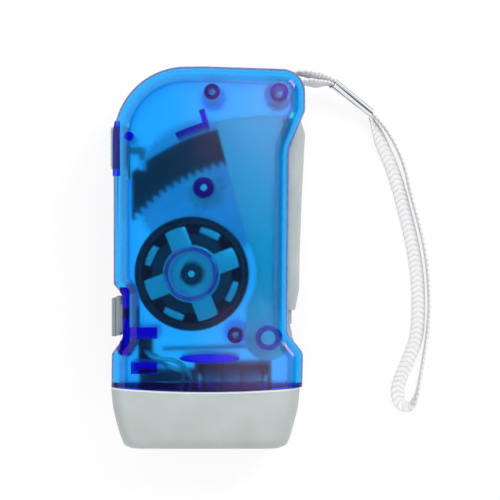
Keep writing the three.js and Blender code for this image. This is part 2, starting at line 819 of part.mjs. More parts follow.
function rackGuide() {
  const first = THREE.MathUtils.degToRad(105.6);
  const last = THREE.MathUtils.degToRad(114.4);
  const inner = rackOuterRadius + runGap;
  const thickness = 1.4;
  const foot = 5;
  const shape = new THREE.Shape();
  shape.absarc(pivot.x, pivot.y, inner, first, last, false);
  shape.absarc(pivot.x, pivot.y, inner + thickness, last, first + thickness / inner, true);
  const footTop = polar(pivot, inner + foot, first + thickness / inner);
  const footEnd = polar(pivot, inner + foot, first);
  shape.lineTo(footTop.x, footTop.y);
  shape.lineTo(footEnd.x, footEnd.y);
  return raise(shape, rackBottom, frontInside + wall / 2);
}

// The lens-shaped rib that the spring's long leg bears on
const springRibHalf = 8.25;
const springRibRise = 1.3;
const springRibFromPivot = 16.1;
const springRib = new THREE.Vector2(
  pivot.x - springRibFromPivot,
  pivot.y - springRadius - springLegDrop - springWire / 2 - seatGap - springRibRise,
);

function buildFrontShell() {
  const top = frontInside + wall / 2;
  const shapes = [];
  const bores = [];
  screws.forEach((centre) => {
    const radius = centre === strapPost ? strapPostRadius : screwBossRadius;
    shapes.push(bar(centre, radius, middle + seatGap / 2, top, 24));
    bores.push(bar(centre, screwShank + seatGap, middle - overrun, screwSeat + screwLength + runGap, 16));
  });
  shapes.push(bar(peg, pegRadius, wall + fitGap, top, 16));
  shapes.push(bar(gearCentre, shaftBossRadius, pinionTop + fitGap, top, 24));
  bores.push(bar(gearCentre, shaftRadius + seatGap, middle - overrun, frontInside - seatGap, 16));
  shapes.push(bar(pivot, pivotBossRadius, plateFrontTop + fitGap, top, 28));
  bores.push(bar(pivot, trunnionRadius + fitGap / 2, middle - overrun, frontInside - seatGap, 20));
  shapes.push(tube(flywheelCentre, collarRadius, collarRadius - collarWall, statorFrontTop + seatGap, top, 36)
    .intersect(bar(flywheelCentre, collarRadius + wall, statorFrontTop, top, 36)));
  shapes.push(rackGuide());
  const rib = new THREE.Shape();
  rib.absellipse(springRib.x, springRib.y, springRibHalf, springRibRise, 0, 2 * Math.PI);
  shapes.push(raise(rib, middle - wall * 2, top, 12));
  shapes.push(...switchRibs(middle + switchHeight / 2 - runGap, top));
  const shell = shellHalf(middle + seatGap / 2, caseThickness + overrun);
  addPiece('front_shell', cut(join(shell, ...shapes), ...bores), 'clearBlue');
}

function buildBackShell() {
  const floor = wall / 2;
  const split = middle - seatGap / 2;
  const shapes = [];
  const bores = [];
  screws.forEach((centre) => {
    shapes.push(bar(centre, counterboreRadius + wall / 2, floor, screwSeat + wall, 24));
    shapes.push(bar(centre, screwBossRadius, floor, split, 24));
    bores.push(bar(centre, counterboreRadius, -overrun, screwSeat, 20));
    bores.push(bar(centre, screwShank + fitGap, -overrun, middle, 16));
  });
  shapes.push(bar(gearCentre, shaftBossRadius, floor, wheelBottom - runGap, 24));
  bores.push(bar(gearCentre, shaftRadius + seatGap, wall + seatGap, middle, 16));
  shapes.push(bar(flywheelCentre, shaftBossRadius, floor, wheelBottom - runGap - fitGap, 24));
  bores.push(bar(flywheelCentre, shaftRadius + seatGap, wall + seatGap, middle, 16));
  shapes.push(bar(pivot, pivotBossRadius, floor, plateBackBottom - fitGap, 28));
  bores.push(bar(pivot, trunnionRadius + fitGap / 2, wall + seatGap, middle, 20));
  shapes.push(...switchRibs(floor, middle - switchHeight / 2 + runGap));
  const cradleTop = middle - cellDiameter / 2 - holderWall - seatGap;
  const cradleHalf = cellThickness;
  [-cradleHalf, cradleHalf].forEach((offset) => {
    const x = holderCentreX + offset;
    const lowY = jointY + spigotLength + fitGap;
    shapes.push(block([x, lowY, floor], [x + holderWall, holderTopY, cradleTop]));
  });
  const shell = shellHalf(-overrun, split);
  addPiece('back_shell', cut(join(shell, ...shapes), ...bores), 'clearBlue');
}

function buildScrews() {
  const headHeight = 1.54;
  const slot = 0.4;
  const slotReach = 1.32;
  screws.forEach((centre, k) => {
    const headBottom = screwSeat - seatGap - headHeight;
    const head = bar(centre, screwHead, headBottom, screwSeat - seatGap, 18);
    const cross = [
      block([centre.x - slotReach, centre.y - slot, headBottom - overrun],
        [centre.x + slotReach, centre.y + slot, headBottom + slot * 2]),
      block([centre.x - slot, centre.y - slotReach, headBottom - overrun],
        [centre.x + slot, centre.y + slotReach, headBottom + slot * 2]),
    ];
    const shank = bar(centre, screwShank, screwSeat - wall / 2, screwSeat + screwLength, 12);
    addPiece(`case_screw_${k + 1}`, cut(join(head, shank), ...cross), 'steel');
  });
}

// Head: bezel, lens, reflector, lamps, board and cells. Heights here run from the joint towards the lens.

// Sections of the bezel: share of its length, then left, right and front-to-back shares of the case
const bezelShares = [
  [0, -0.978, 0.955, 0.01],
  [0.33, -0.957, 0.935, 0.025],
  [0.62, -0.905, 0.885, 0.055],
  [0.84, -0.845, 0.825, 0.09],
  [0.95, -0.775, 0.755, 0.13],
  [1, -0.7, 0.685, 0.165],
];
const headX = ((bezelShares[5][1] + bezelShares[5][2]) / 2) * halfWidth;

// A solid modelled with its height along +Z turns so that the height runs along -Y from the joint.
function towardsLens(geometry) {
  geometry.rotateX(Math.PI / 2);
  geometry.translate(0, jointY, 0);
  return solidOf(geometry);
}

function bezelSection([share, left, right, rise], inset) {
  const corners = [
    [left * halfWidth, rise * caseThickness, edgeRound],
    [right * halfWidth, rise * caseThickness, edgeRound],
    [right * halfWidth, (1 - rise) * caseThickness, edgeRound],
    [left * halfWidth, (1 - rise) * caseThickness, edgeRound],
  ];
  return { ring: cornerRing(corners, inset), height: share * bezelLength };
}

// A plate with round corners, square to the torch's length, between two heights from the joint
function headPlate(width, height, corner, from, to) {
  const corners = [
    [headX - width / 2, middle - height / 2, corner],
    [headX + width / 2, middle - height / 2, corner],
    [headX + width / 2, middle + height / 2, corner],
    [headX - width / 2, middle + height / 2, corner],
  ];
  const ring = cornerRing(corners);
  return towardsLens(loft([{ ring, height: from }, { ring, height: to }]));
}

const spigotLength = 2.4;
const spigotWall = 1.2;
const lensLip = 0.6;
const lensFront = bezelLength - lensLip;
const lensBack = lensFront - lensThickness;
const reflectorFront = lensBack - seatGap;
const reflectorBack = reflectorFront - reflectorDepth;
const boardFront = reflectorBack - fitGap;
const boardBack = boardFront - boardThickness;
const lampPitch = cupRadius * 2 + fitGap * 2;

function buildBezel() {
  const spigotInset = wall + fitGap;
  const cavityInset = spigotInset + spigotWall;
  const outer = towardsLens(loft(bezelShares.map((shares) => bezelSection(shares, 0))));
  const base = bezelSection(bezelShares[0], spigotInset).ring;
  const spigot = towardsLens(loft([{ ring: base, height: -spigotLength }, { ring: base, height: wall }]));
  const hollow = bezelSection(bezelShares[0], cavityInset).ring;
  const narrow = bezelSection(bezelShares[2], cavityInset).ring;
  const cavity = towardsLens(loft([
    { ring: hollow, height: -spigotLength - overrun },
    { ring: narrow, height: boardFront },
  ]));
  const pocketWidth = lensWidth + fitGap * 2;
  const pocketHeight = lensHeight + fitGap * 2;
  const pocket = headPlate(pocketWidth, pocketHeight, lensCorner, boardFront - wall, lensFront);
  const lipWidth = lensWidth - lensLip * 4;
  const lipHeight = lensHeight - lensLip * 4;
  const mouth = headPlate(lipWidth, lipHeight, lensCorner, reflectorFront, bezelLength + overrun);
  addPiece('lens_bezel', cut(join(outer, spigot), cavity, pocket, mouth), 'greyPlastic');
}

function lampPlaces() {
  return [-1, 0, 1].map((k) => headX + k * lampPitch);
}

// Turned about an axis along -Y through a lamp's centre, its profile in radius and height from the joint
function revolveLamp(x, profile, sides) {
  const points = profile.map(([radius, height]) => new THREE.Vector2(radius, height));
  const geometry = new THREE.LatheGeometry(points, sides);
  geometry.rotateX(Math.PI);
  geometry.translate(x, jointY, middle);
  return solidOf(geometry);
}

// Shares of the quarter turn from a lamp's shoulder towards its tip
const domeShares = [0, 0.25, 0.5, 0.75];

function buildHead() {
  const lens = headPlate(lensWidth, lensHeight, lensCorner - fitGap, lensBack, lensFront - seatGap);
  addPiece('lens', lens, 'clearLens');

  const cupDepthShares = [
    [0.5, 0],
    [0.72, 0.22],
    [0.88, 0.5],
    [0.97, 0.8],
    [1, 1],
  ];
  const reflector = headPlate(lensWidth, lensHeight, lensCorner - fitGap, reflectorBack, reflectorFront);
  const cupBottomLevel = reflectorBack + wall / 2;
  const cupDepth = reflectorFront - cupBottomLevel;
  const cups = lampPlaces().map((x) => revolveLamp(x, [
    [0, reflectorBack - overrun],
    [cupDepthShares[0][0] * cupRadius, reflectorBack - overrun],
    ...cupDepthShares.map(([r, h]) => [r * cupRadius, cupBottomLevel + h * cupDepth]),
    [cupRadius, reflectorFront + overrun],
    [0, reflectorFront + overrun],
  ], 20));
  addPiece('reflector', cut(reflector, ...cups), 'mirror');

  lampPlaces().forEach((x, k) => {
    const base = boardFront + seatGap;
    const shoulder = base + lampHeight - lampRadius;
    const lampFlange = boardThickness / 2;
    const dome = domeShares.map((share) => {
      const angle = (share * Math.PI) / 2;
      return [lampRadius * Math.cos(angle), shoulder + lampRadius * Math.sin(angle)];
    });
    const tip = [0, shoulder + lampRadius];
    const flangeRadius = lampRadius + seatGap;
    const profile = [[0, base], [flangeRadius, base], [flangeRadius, base + lampFlange], ...dome, tip];
    addPiece(`lamp_${k + 1}`, revolveLamp(x, profile, 16), 'clearLens');
  });

  const boardWidth = lensWidth + wall;
  const boardHeight = lensHeight + wall;
  addPiece('lamp_board', headPlate(boardWidth, boardHeight, wall, boardBack, boardFront), 'board');
}

// Cells in a tray behind the lamp board, their axes across the torch
const holderWall = 1;
const contactSheet = 0.4;
const contactRoom = 1.6;
const holderInside = cellThickness * cellCount + seatGap * (cellCount - 1) + contactRoom * 2;
const holderCentreX = 7.2;
const holderBottomY = jointY - boardBack + seatGap;
const holderTopY = holderBottomY + cellDiameter + holderWall * 2;
const trayRise = 3.7;
const cellCapRadius = 4.2;
const cellCanShare = 0.88;
const contactHalf = 3.5;

function acrossBar(x, y, z, radius, length, sides) {
  const geometry = new THREE.CylinderGeometry(radius, radius, length, sides);
  geometry.rotateZ(Math.PI / 2);
  geometry.translate(x + length / 2, y, z);
  return solidOf(geometry);
}

function buildCells() {
  const left = holderCentreX - holderInside / 2;
  const right = holderCentreX + holderInside / 2;
  const cellY = (holderTopY + holderBottomY) / 2;
  const trayBottom = middle - cellDiameter / 2 - holderWall;
  const trayTop = middle + trayRise;
  const tray = block(
    [left - holderWall, holderBottomY, trayBottom],
    [right + holderWall, holderTopY, trayTop],
  );
  const room = block(
    [left, holderBottomY + holderWall - fitGap / 2, trayBottom + holderWall - fitGap / 2],
    [right, holderTopY - holderWall + fitGap / 2, trayTop + overrun],
  );
  addPiece('battery_tray', cut(tray, room), 'blackPlastic');
  for (let k = 0; k < cellCount; k += 1) {
    const x = left + contactRoom + k * (cellThickness + seatGap);
    const can = acrossBar(x, cellY, middle, cellDiameter / 2, cellThickness * cellCanShare, 28);
    const cap = acrossBar(x, cellY, middle, cellCapRadius, cellThickness, 24);
    addPiece(`button_cell_${k + 1}`, join(can, cap), 'steel');
  }
  const contacts = [
    ['contact_left', left + seatGap, left + contactRoom - seatGap],
    ['contact_right', right - seatGap, right - contactRoom + seatGap],
  ];
  contacts.forEach(([name, root, touch]) => {
    const sheet = Math.sign(touch - root) * contactSheet;
    const shape = new THREE.Shape();
    shape.moveTo(root, cellY - contactHalf);
    shape.lineTo(root + sheet, cellY - contactHalf);
    shape.quadraticCurveTo(touch * 2 - root - sheet, cellY, root + sheet, cellY + contactHalf);
    shape.lineTo(root, cellY + contactHalf);
    addPiece(name, raise(shape, middle - contactHalf, middle + contactHalf, 8), 'steel');
  });
}

// Sliders

// A strip of fine ribs standing out on the left face of a slider
function gripRibs(faceX, centreY, length, depth) {
  const count = Math.floor(length / gripPitch);
  const first = centreY - ((count - 1) * gripPitch) / 2;
  return Array.from({ length: count }, (_, k) => {
    const geometry = new THREE.CylinderGeometry(gripDepth, gripDepth, depth - gripPitch, 8);
    geometry.rotateX(Math.PI / 2);
    geometry.translate(faceX, first + k * gripPitch, middle);
    return solidOf(geometry);
  });
}

const armWidth = 2;

function buildLock() {
  const faceX = leftWallX - gripDepth / 2;
  const half = lockLength / 2;
  const flangeOut = leftWallX + wall + fitGap;
  const flangeIn = flangeOut + wall / 2;
  const body = block(
    [faceX, lockY - half, middle - lockDepth / 2],
    [flangeIn, lockY + half, middle + lockDepth / 2],
  );
  const above = block(
    [flangeOut - fitGap, peg.y - pegRadius - fitGap, 0],
    [flangeIn + overrun, halfLength, caseThickness],
  );
  const armBottom = fingerRestY + fingerWidth;
  const armTop = armBottom + armWidth;
  const flangeLow = Math.min(lockY - half - lockTravel, armBottom);
  const flangeHigh = Math.max(lockY, armTop);
  const flange = block(
    [flangeOut, flangeLow, middle - lockDepth / 2 - wall / 2],
    [flangeIn, flangeHigh, middle + lockDepth / 2 + wall / 2],
  );
  const zLow = rackBottom + seatGap * 2;
  const zHigh = rackTop - seatGap * 2;
  const fingerLeft = fingerX - fingerWidth / 2;
  const finger = block([fingerLeft, fingerRestY, zLow], [fingerLeft + fingerWidth, armTop, zHigh]);
  const arm = block([flangeOut, armBottom, zLow], [fingerLeft + fingerWidth, armTop, zHigh]);
  const ribs = gripRibs(faceX, lockY, lockLength, lockDepth);
  addPiece('lock_slider', join(cut(body, above), flange, finger, arm, ...ribs), 'greyPlastic');
}

const knobPlate = 0.9;
const knobPlateBelow = 4.62;
const knobPlateAbove = 3.3;

function buildKnob() {
  const faceX = leftWallX + gripDepth / 2;
  const plateOut = recessX - fitGap - knobPlate;
  const plateIn = recessX - fitGap;
  const pad = block(
    [faceX, knobY - knobLength / 2, middle - knobDepth / 2],
    [plateOut, knobY + knobLength / 2, middle + knobDepth / 2],
  );
  const plate = block(
    [plateOut - seatGap, knobY - knobPlateBelow, middle - knobDepth / 2],
    [plateIn, knobY + knobPlateAbove, middle + knobDepth / 2],
  );
  const half = knobTongue / 2;
  const armIn = switchLeft - fitGap;
  const armOut = armIn - wall / 2;
  const tongue = block(
    [plateIn - seatGap, knobTongueY - half, middle - half],
    [armIn, knobTongueY + half, middle + half],
  );
  const armEnd = switchTop - switchLength / 3;
  const arm = block([armOut, armEnd, middle - half], [armIn, knobTongueY + half, middle + half]);
  const nub = block(
    [armIn - seatGap, armEnd, middle - half],
    [switchLeft + switchWidth / 4, armEnd + wall / 2, middle + half],
  );
  const ribs = gripRibs(faceX, knobY, knobLength, knobDepth);
  addPiece('switch_knob', join(pad, plate, tongue, arm, nub, ...ribs), 'greyPlastic');

  const body = block(
    [switchLeft, switchTop - switchLength, middle - switchHeight / 2],
    [switchLeft + switchWidth, switchTop, middle + switchHeight / 2],
  );
  const channel = block(
    [switchLeft - overrun, armEnd - fitGap, middle - half - fitGap],
    [switchLeft + switchWidth / 4 + fitGap, switchTop + overrun, middle + half + fitGap],
  );
  addPiece('slide_switch', cut(body, channel), 'darkSteel');
}

// Lead wires from the switch to the lamp board. Each runs from its offset at the switch's near corner to
// its offset at the middle of the board's back, through points that give a share of that straight line and
// then how far they stand to the right of it and in front of it.
const leadRoutes = {
  lead_wire_1: {
    from: [-1.5, -3.8, 4.2],
    to: [-4.8, 0.3, 0.2],
    through: [
      [0.049, 0.72, 0.6],
      [0.086, 1.68, 0.74],
      [0.117, 3.51, 0.17],
      [0.178, 5.78, -0.29],
      [0.27, 7.04, -0.72],
      [0.405, 6.98, -1.18],
      [0.54, 5.57, -1.44],
      [0.81, 2.26, -0.76],
    ],
  },
  lead_wire_2: {
    from: [0.3, -5, 0.4],
    to: [-7.4, 0.3, -2],
    through: [
      [0.033, 0.95, 0.88],
      [0.086, 1.46, 1.41],
      [0.179, 2.76, 1.63],
      [0.242, 4.29, 1.38],
      [0.278, 5.37, 0.67],
      [0.397, 5.22, -0.05],
      [0.57, 3.63, -0.63],
      [0.795, 1.54, -0.49],
    ],
  },
};

function leadPath({ from, to, through }) {
  const switchCorner = new THREE.Vector3(switchLeft + switchWidth, switchTop, middle);
  const boardMiddle = new THREE.Vector3(headX, jointY - boardBack, middle);
  const start = switchCorner.add(new THREE.Vector3(...from));
  const end = boardMiddle.add(new THREE.Vector3(...to));
  const between = through.map(([share, right, front]) => {
    return start.clone().lerp(end, share).add(new THREE.Vector3(right, 0, front));
  });
  return new THREE.CatmullRomCurve3([start, ...between, end], false, 'centripetal');
}

function buildLeads() {
  Object.entries(leadRoutes).forEach(([name, route]) => {
    addPiece(name, wireAlong(leadPath(route), leadWire / 2, 22, 8), 'wireSleeve');
  });
}

// Wrist strap: one flat tape from its post, through the crimp, round the loop and back to the post.
// Each point of the route is [x, y, z, turn], where turn is 0 for lying flat, 1 for standing on edge and more
// for leaning over the other way. The route moves with the strap's post, which stands at strapHome in it.
const strapHome = [20.007, 45.514];
const strapRoute = [
  [16.55, 44.9, 17, 1],
  [16.97, 47.25, 17, 1],
  [18.8, 48.79, 17, 1],
  [20.9, 49.1, 17, 1],
  [23.6, 50.3, 17, 1],
  [27.3, 51.2, 16.6, 0.75],
  [31.2, 51, 13.2, 0.65],
  [35.72, 49.25, 8.1, 1],
  [38.245, 47.15, 6.875, 1],
  [40.77, 45.05, 5.65, 1],
  [43.295, 42.95, 4.425, 1],
  [45.82, 40.85, 3.2, 1],
  [49.5, 37.6, 2.1, 1],
  [53.3, 32.5, 1.9, 1],
  [55.6, 26.4, 1.9, 1],
  [57.2, 18.9, 1.9, 1],
  [60, 8.4, 1.9, 1],
  [61.4, 0.5, 1.9, 1],
  [62.3, -7.4, 1.9, 1],
  [62.5, -15.3, 1.9, 1],
  [61.3, -23.7, 1.9, 1],
  [60.4, -29.5, 1.9, 1],
  [59.4, -35.3, 1.9, 1],
  [58.4, -40, 1.8, 0.9],
  [56.6, -42.6, 1.6, 0.6],
  [54.4, -41.8, 1.2, 0.3],
  [53.5, -38.8, 0.9, 0.1],
  [54, -35.2, 0.8, 0],
  [55.8, -30.3, 0.8, 0],
  [58, -23.3, 0.8, 0],
  [59, -14.8, 0.8, 0],
  [58.7, -6, 0.8, 0],
  [57.2, 3.6, 0.8, 0],
  [54.9, 13.8, 0.8, 0],
  [53.4, 19.4, 0.8, 0],
  [51.3, 25.8, 0.8, 0],
  [48.9, 32.4, 1.2, 0.2],
  [47.3, 36.9, 2.1, 0.75],
  [45.08, 39.95, 3.2, 1],
  [42.555, 42.05, 4.425, 1],
  [40.03, 44.15, 5.65, 1],
  [37.505, 46.25, 6.875, 1],
  [34.98, 48.35, 8.1, 1],
  [31.4, 48.7, 12.4, 1.35],
  [28.2, 47.6, 16.4, 1.25],
  [25.2, 45.2, 17, 1],
  [22.3, 42.85, 17, 1],
  [20, 42, 17, 1],
  [17.9, 42.72, 17, 1],
  [17.03, 43.65, 17, 1],
];
const strapSteps = 98;
const crimpEnds = [
  [35.35, 48.8, 8.1],
  [45.45, 40.4, 3.2],
];

function besidePost([x, y, z]) {
  return new THREE.Vector3(x - strapHome[0] + strapPost.x, y - strapHome[1] + strapPost.y, z);
}

// Bends a straight tape, its length along Z and its width along X, onto the strap's route.
function buildStrap() {
  const places = strapRoute.map((point) => besidePost(point));
  const path = new THREE.CatmullRomCurve3(places, false, 'centripetal');
  console.log(`wrist strap length: ${path.getLength().toFixed(1)} mm`);
  const halfWide = strapWidth / 2 - fitGap / 6;
  const halfThin = strapThickness / 2 - fitGap / 6;
  const bevel = halfThin / 2;
  const section = new THREE.Shape();
  [[1, 1], [-1, 1], [-1, -1], [1, -1]].forEach(([x, y], k) => {
    const side = [x * halfWide, y * (halfThin - bevel)];
    const face = [x * (halfWide - bevel), y * halfThin];
    const pair = x * y > 0 ? [side, face] : [face, side];
    pair.forEach((point, i) => (k + i === 0 ? section.moveTo(...point) : section.lineTo(...point)));
  });
  const straight = new THREE.ExtrudeGeometry(section, { depth: 1, steps: strapSteps, bevelEnabled: false });
  const place = straight.attributes.position;
  const up = new THREE.Vector3(0, 0, 1);
  for (let i = 0; i < place.count; i += 1) {
    const share = place.getZ(i);
    const raw = share * (strapRoute.length - 1);
    const before = Math.min(strapRoute.length - 2, Math.floor(raw));
    const roll = THREE.MathUtils.lerp(strapRoute[before][3], strapRoute[before + 1][3], raw - before);
    const angle = (roll * Math.PI) / 2;
    const tangent = path.getTangent(share);
    const side = new THREE.Vector3().crossVectors(up, tangent).normalize();
    const over = new THREE.Vector3().crossVectors(tangent, side);
    const point = path.getPoint(share);
    point.addScaledVector(side, place.getX(i) * Math.cos(angle) - place.getY(i) * Math.sin(angle));
    point.addScaledVector(over, place.getX(i) * Math.sin(angle) + place.getY(i) * Math.cos(angle));
    place.setXYZ(i, point.x, point.y, point.z);
  }
  addPiece('wrist_strap', solidOf(straight), 'tape');
}

function buildCrimp() {
  const [from, to] = crimpEnds.map((end) => besidePost(end));
  const along = to.clone().sub(from);
  const length = along.length();
  along.normalize();
  const side = new THREE.Vector3().crossVectors(new THREE.Vector3(0, 0, 1), along).normalize();
  const over = new THREE.Vector3().crossVectors(along, side);
  const innerX = strapThickness + seatGap * 2;
  const innerY = strapWidth / 2 + fitGap;
  const oval = (grow, radius) => {
    const corners = [[-1, -1], [1, -1], [1, 1], [-1, 1]].map(([x, y]) => {
      return [x * (innerX + grow), y * (innerY + grow), radius];
    });
    return new THREE.Shape(cornerRing(corners));
  };
  const outside = raise(oval(crimpWall, innerX), 0, length);
  const sleeve = cut(outside, raise(oval(0, strapThickness / 2), -overrun, length + overrun));
  const geometry = geometryOf(sleeve);
  geometry.applyMatrix4(new THREE.Matrix4().makeBasis(side, over, along).setPosition(from));
  addPiece('strap_crimp', solidOf(geometry), 'steel');
}

buildFrontShell();
buildBackShell();
buildScrews();
buildBezel();
buildHead();
buildCells();
buildStator();
buildRotor();
buildGears();
buildLever();
buildRack();
buildSpring();
buildLock();
buildKnob();
buildLeads();
buildStrap();
buildCrimp();

export default torch;
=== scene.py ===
"""Squeeze-lever dynamo torch in a clear blue case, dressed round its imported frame.

The torch lies on its back: +Y runs from the lens to the strap, +X towards the lever, +Z out of the front.
Sizes are in metres, except where a comment or docstring says millimetres.
"""

import json
import math

import bpy
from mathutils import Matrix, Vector
from mathutils.bvhtree import BVHTree

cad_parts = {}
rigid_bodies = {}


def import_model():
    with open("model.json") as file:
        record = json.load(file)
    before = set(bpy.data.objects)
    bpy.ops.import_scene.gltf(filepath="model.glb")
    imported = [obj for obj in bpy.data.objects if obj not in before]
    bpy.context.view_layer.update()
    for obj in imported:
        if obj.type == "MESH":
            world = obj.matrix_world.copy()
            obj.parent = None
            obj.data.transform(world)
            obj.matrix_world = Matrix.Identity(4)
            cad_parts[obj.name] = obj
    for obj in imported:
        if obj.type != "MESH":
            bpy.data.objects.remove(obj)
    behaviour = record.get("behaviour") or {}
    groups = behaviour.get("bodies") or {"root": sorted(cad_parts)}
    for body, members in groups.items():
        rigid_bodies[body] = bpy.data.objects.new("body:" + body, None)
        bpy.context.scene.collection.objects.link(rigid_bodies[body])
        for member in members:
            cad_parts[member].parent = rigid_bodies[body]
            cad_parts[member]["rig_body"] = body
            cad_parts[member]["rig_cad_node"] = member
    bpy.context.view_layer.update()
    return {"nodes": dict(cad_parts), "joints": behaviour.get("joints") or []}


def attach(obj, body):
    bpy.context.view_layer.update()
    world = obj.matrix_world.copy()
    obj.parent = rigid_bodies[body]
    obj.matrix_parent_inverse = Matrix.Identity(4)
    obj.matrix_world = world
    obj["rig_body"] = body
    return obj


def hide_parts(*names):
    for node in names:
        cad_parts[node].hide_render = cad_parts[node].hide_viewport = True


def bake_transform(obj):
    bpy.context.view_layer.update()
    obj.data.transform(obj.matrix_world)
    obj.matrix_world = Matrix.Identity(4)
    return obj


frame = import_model()

bl_info = {
    "name": "Squeeze dynamo torch",
    "version": (1, 0, 0),
    "blender": (4, 5, 0),
    "location": "3D View > Sidebar > Torch",
    "description": "Builds a squeeze-lever dynamo torch in a clear blue case",
    "category": "Object",
}

MM = 0.001
# Points nearer to each other than this are one point
MERGE = 0.000002
# Faces that meet at less than this shade as one surface
SMOOTH_ANGLE = math.radians(32)


def linear(code):
    """An sRGB hex colour as linear red, green, blue and alpha."""
    channels = [int(code[place : place + 2], 16) / 255 for place in (1, 3, 5)]
    light = [c / 12.92 if c <= 0.04045 else ((c + 0.055) / 1.055) ** 2.4 for c in channels]
    return (*light, 1.0)


def joint_place(name):
    """Where the frame's joint of that name has its axis."""
    joint = next(j for j in frame["joints"] if j["name"] == name)
    return Vector(joint["pos_m"])


PIVOT = joint_place("lever_swing")
GEAR_AXIS = joint_place("gear_spin")
ROTOR_AXIS = joint_place("flywheel_spin")

# Centres of the screws, the second of which is also the strap's post, and of the lock's peg
SCREWS = [(1.566 * MM, 45.725 * MM), (20.007 * MM, 45.514 * MM), (7.992 * MM, -21.226 * MM)]
PEG = (-21.249 * MM, 33.475 * MM)

# The joint of the case and the bezel: where it lies at the torch's sides, how far its middle bows towards the lens
# and, in millimetres, the radius of the bow
JOINT_Y = -35.4 * MM
JOINT_SAG = 1.3 * MM
JOINT_RADIUS = 281
JOINT_CENTRE = (0, JOINT_Y - JOINT_SAG + JOINT_RADIUS * MM)
JOINT_SIDES = 1440

# Levels in millimetres: halfway into the back and front walls, where bosses and ribs are rooted, and where the two
# shells part
BACK, FRONT = 1, 33
SPLIT_BACK, SPLIT_FRONT = 16.95, 17.05


def set_colour(label, code):
    """A colour setting with an sRGB hex default."""
    return bpy.props.FloatVectorProperty(
        name=label, description=f"{label} colour", size=4, subtype="COLOR", min=0, max=1, default=linear(code)
    )


def set_length(label, description, value):
    """A length setting in metres."""
    return bpy.props.FloatProperty(name=label, description=description, default=value, unit="LENGTH", precision=5)


class TorchCaseSettings(bpy.types.PropertyGroup):
    """Sizes of the case and the colour of its grey parts"""

    length: set_length("Length", "Case length the outline shares follow", 105.6 * MM)
    width: set_length("Width", "Case width the outline shares follow", 54 * MM)
    thickness: set_length("Thickness", "Case thickness from back to front", 34 * MM)
    wall: set_length("Wall", "Wall of the shells' front and back", 2 * MM)
    side_wall: set_length("Side wall", "Wall of the shells round their sides", 1.6 * MM)
    edge_round: set_length("Edge round", "Rounding along the front and back edges", 4 * MM)
    grey: set_colour("Grey", "#B3BCBA")


class TorchStrapSettings(bpy.types.PropertyGroup):
    """Sizes and colour of the wrist strap"""

    width: set_length("Width", "Width of the flat braid", 4.1 * MM)
    thickness: set_length("Thickness", "Thickness of the flat braid", 1.1 * MM)
    plait: set_length("Plait", "Length of one plait along the braid", 1.5 * MM)
    colour: set_colour("Thread", "#F3F2F2")


class TorchStageSettings(bpy.types.PropertyGroup):
    """The camera's place and the floor's colour"""

    camera_height: set_length("Camera height", "Camera's height over the case's front edge", 0.6)
    field: set_length("Field", "Width of the view at the case's front edge", 0.138)
    floor: set_colour("Floor", "#FFFFFF")


# ---- making meshes ----


def pick(*pieces):
    """Selects these objects alone and makes the first active."""
    bpy.ops.object.select_all(action="DESELECT")
    for piece in pieces:
        piece.select_set(True)
    bpy.context.view_layer.objects.active = pieces[0]


def settle(name):
    """Names the active object and moves its place into its mesh."""
    piece = bpy.context.object
    piece.name = piece.data.name = name
    bpy.ops.object.transform_apply(location=True, rotation=True, scale=True)
    return piece


WELD = (bpy.ops.mesh.remove_doubles, {"threshold": MERGE})
FACE_OUT = (bpy.ops.mesh.normals_make_consistent, {"inside": False})


def edit(*steps):
    """Runs edit-mode operators, each given with its settings, on the whole of the active piece."""
    bpy.ops.object.mode_set(mode="EDIT")
    bpy.ops.mesh.select_all(action="SELECT")
    for step, settings in steps:
        step(**settings)
    bpy.ops.object.mode_set(mode="OBJECT")


def bar(name, centre, radius, low, high, sides=48):
    """An upright round bar, its radius and ends in millimetres."""
    bpy.ops.object.select_all(action="DESELECT")
    low, high = low * MM, high * MM
    place = (centre[0], centre[1], (low + high) / 2)
    bpy.ops.mesh.primitive_cylinder_add(vertices=sides, radius=radius * MM, depth=high - low, location=place)
    return settle(name)


def slab(name, low, high):
    """A block between two corners in millimetres."""
    bpy.ops.object.select_all(action="DESELECT")
    low, high = (Vector([place * MM for place in corner]) for corner in (low, high))
    bpy.ops.mesh.primitive_cube_add(size=1, location=(low + high) / 2, scale=high - low)
    return settle(name)


def bool_with(piece, tools, operation="DIFFERENCE"):
    """Joins, cuts or crosses a piece with several tools at once, which are then gone."""
    bench = bpy.data.collections.new("bench")
    for tool in tools:
        bench.objects.link(tool)
    modifier = piece.modifiers.new("tools", "BOOLEAN")
    modifier.operation = operation
    modifier.solver = "EXACT"
    modifier.operand_type = "COLLECTION"
    modifier.collection = bench
    pick(piece)
    bpy.ops.object.modifier_apply(modifier=modifier.name)
    for tool in tools:
        bpy.data.objects.remove(tool, do_unlink=True)
    bpy.data.collections.remove(bench)
    return piece


def soften(piece, width=0, segments=2, angle=30):
    """Rounds the sharp edges of a piece by a width in millimetres and smooths its shading."""
    pick(piece)
    if width:
        modifier = piece.modifiers.new("edges", "BEVEL")
        modifier.width = width * MM
        modifier.segments = segments
        modifier.limit_method = "ANGLE"
        modifier.angle_limit = math.radians(angle)
        modifier.use_clamp_overlap = True
        bpy.ops.object.modifier_apply(modifier=modifier.name)
    bpy.ops.object.shade_smooth_by_angle(angle=SMOOTH_ANGLE)
    return piece


def level_normals(piece):
    """Lets large flat faces set the normals at their edges, so that they mirror as flat ones do."""
    pick(piece)
    modifier = piece.modifiers.new("normals", "WEIGHTED_NORMAL")
    modifier.keep_sharp = True
    bpy.ops.object.modifier_apply(modifier=modifier.name)


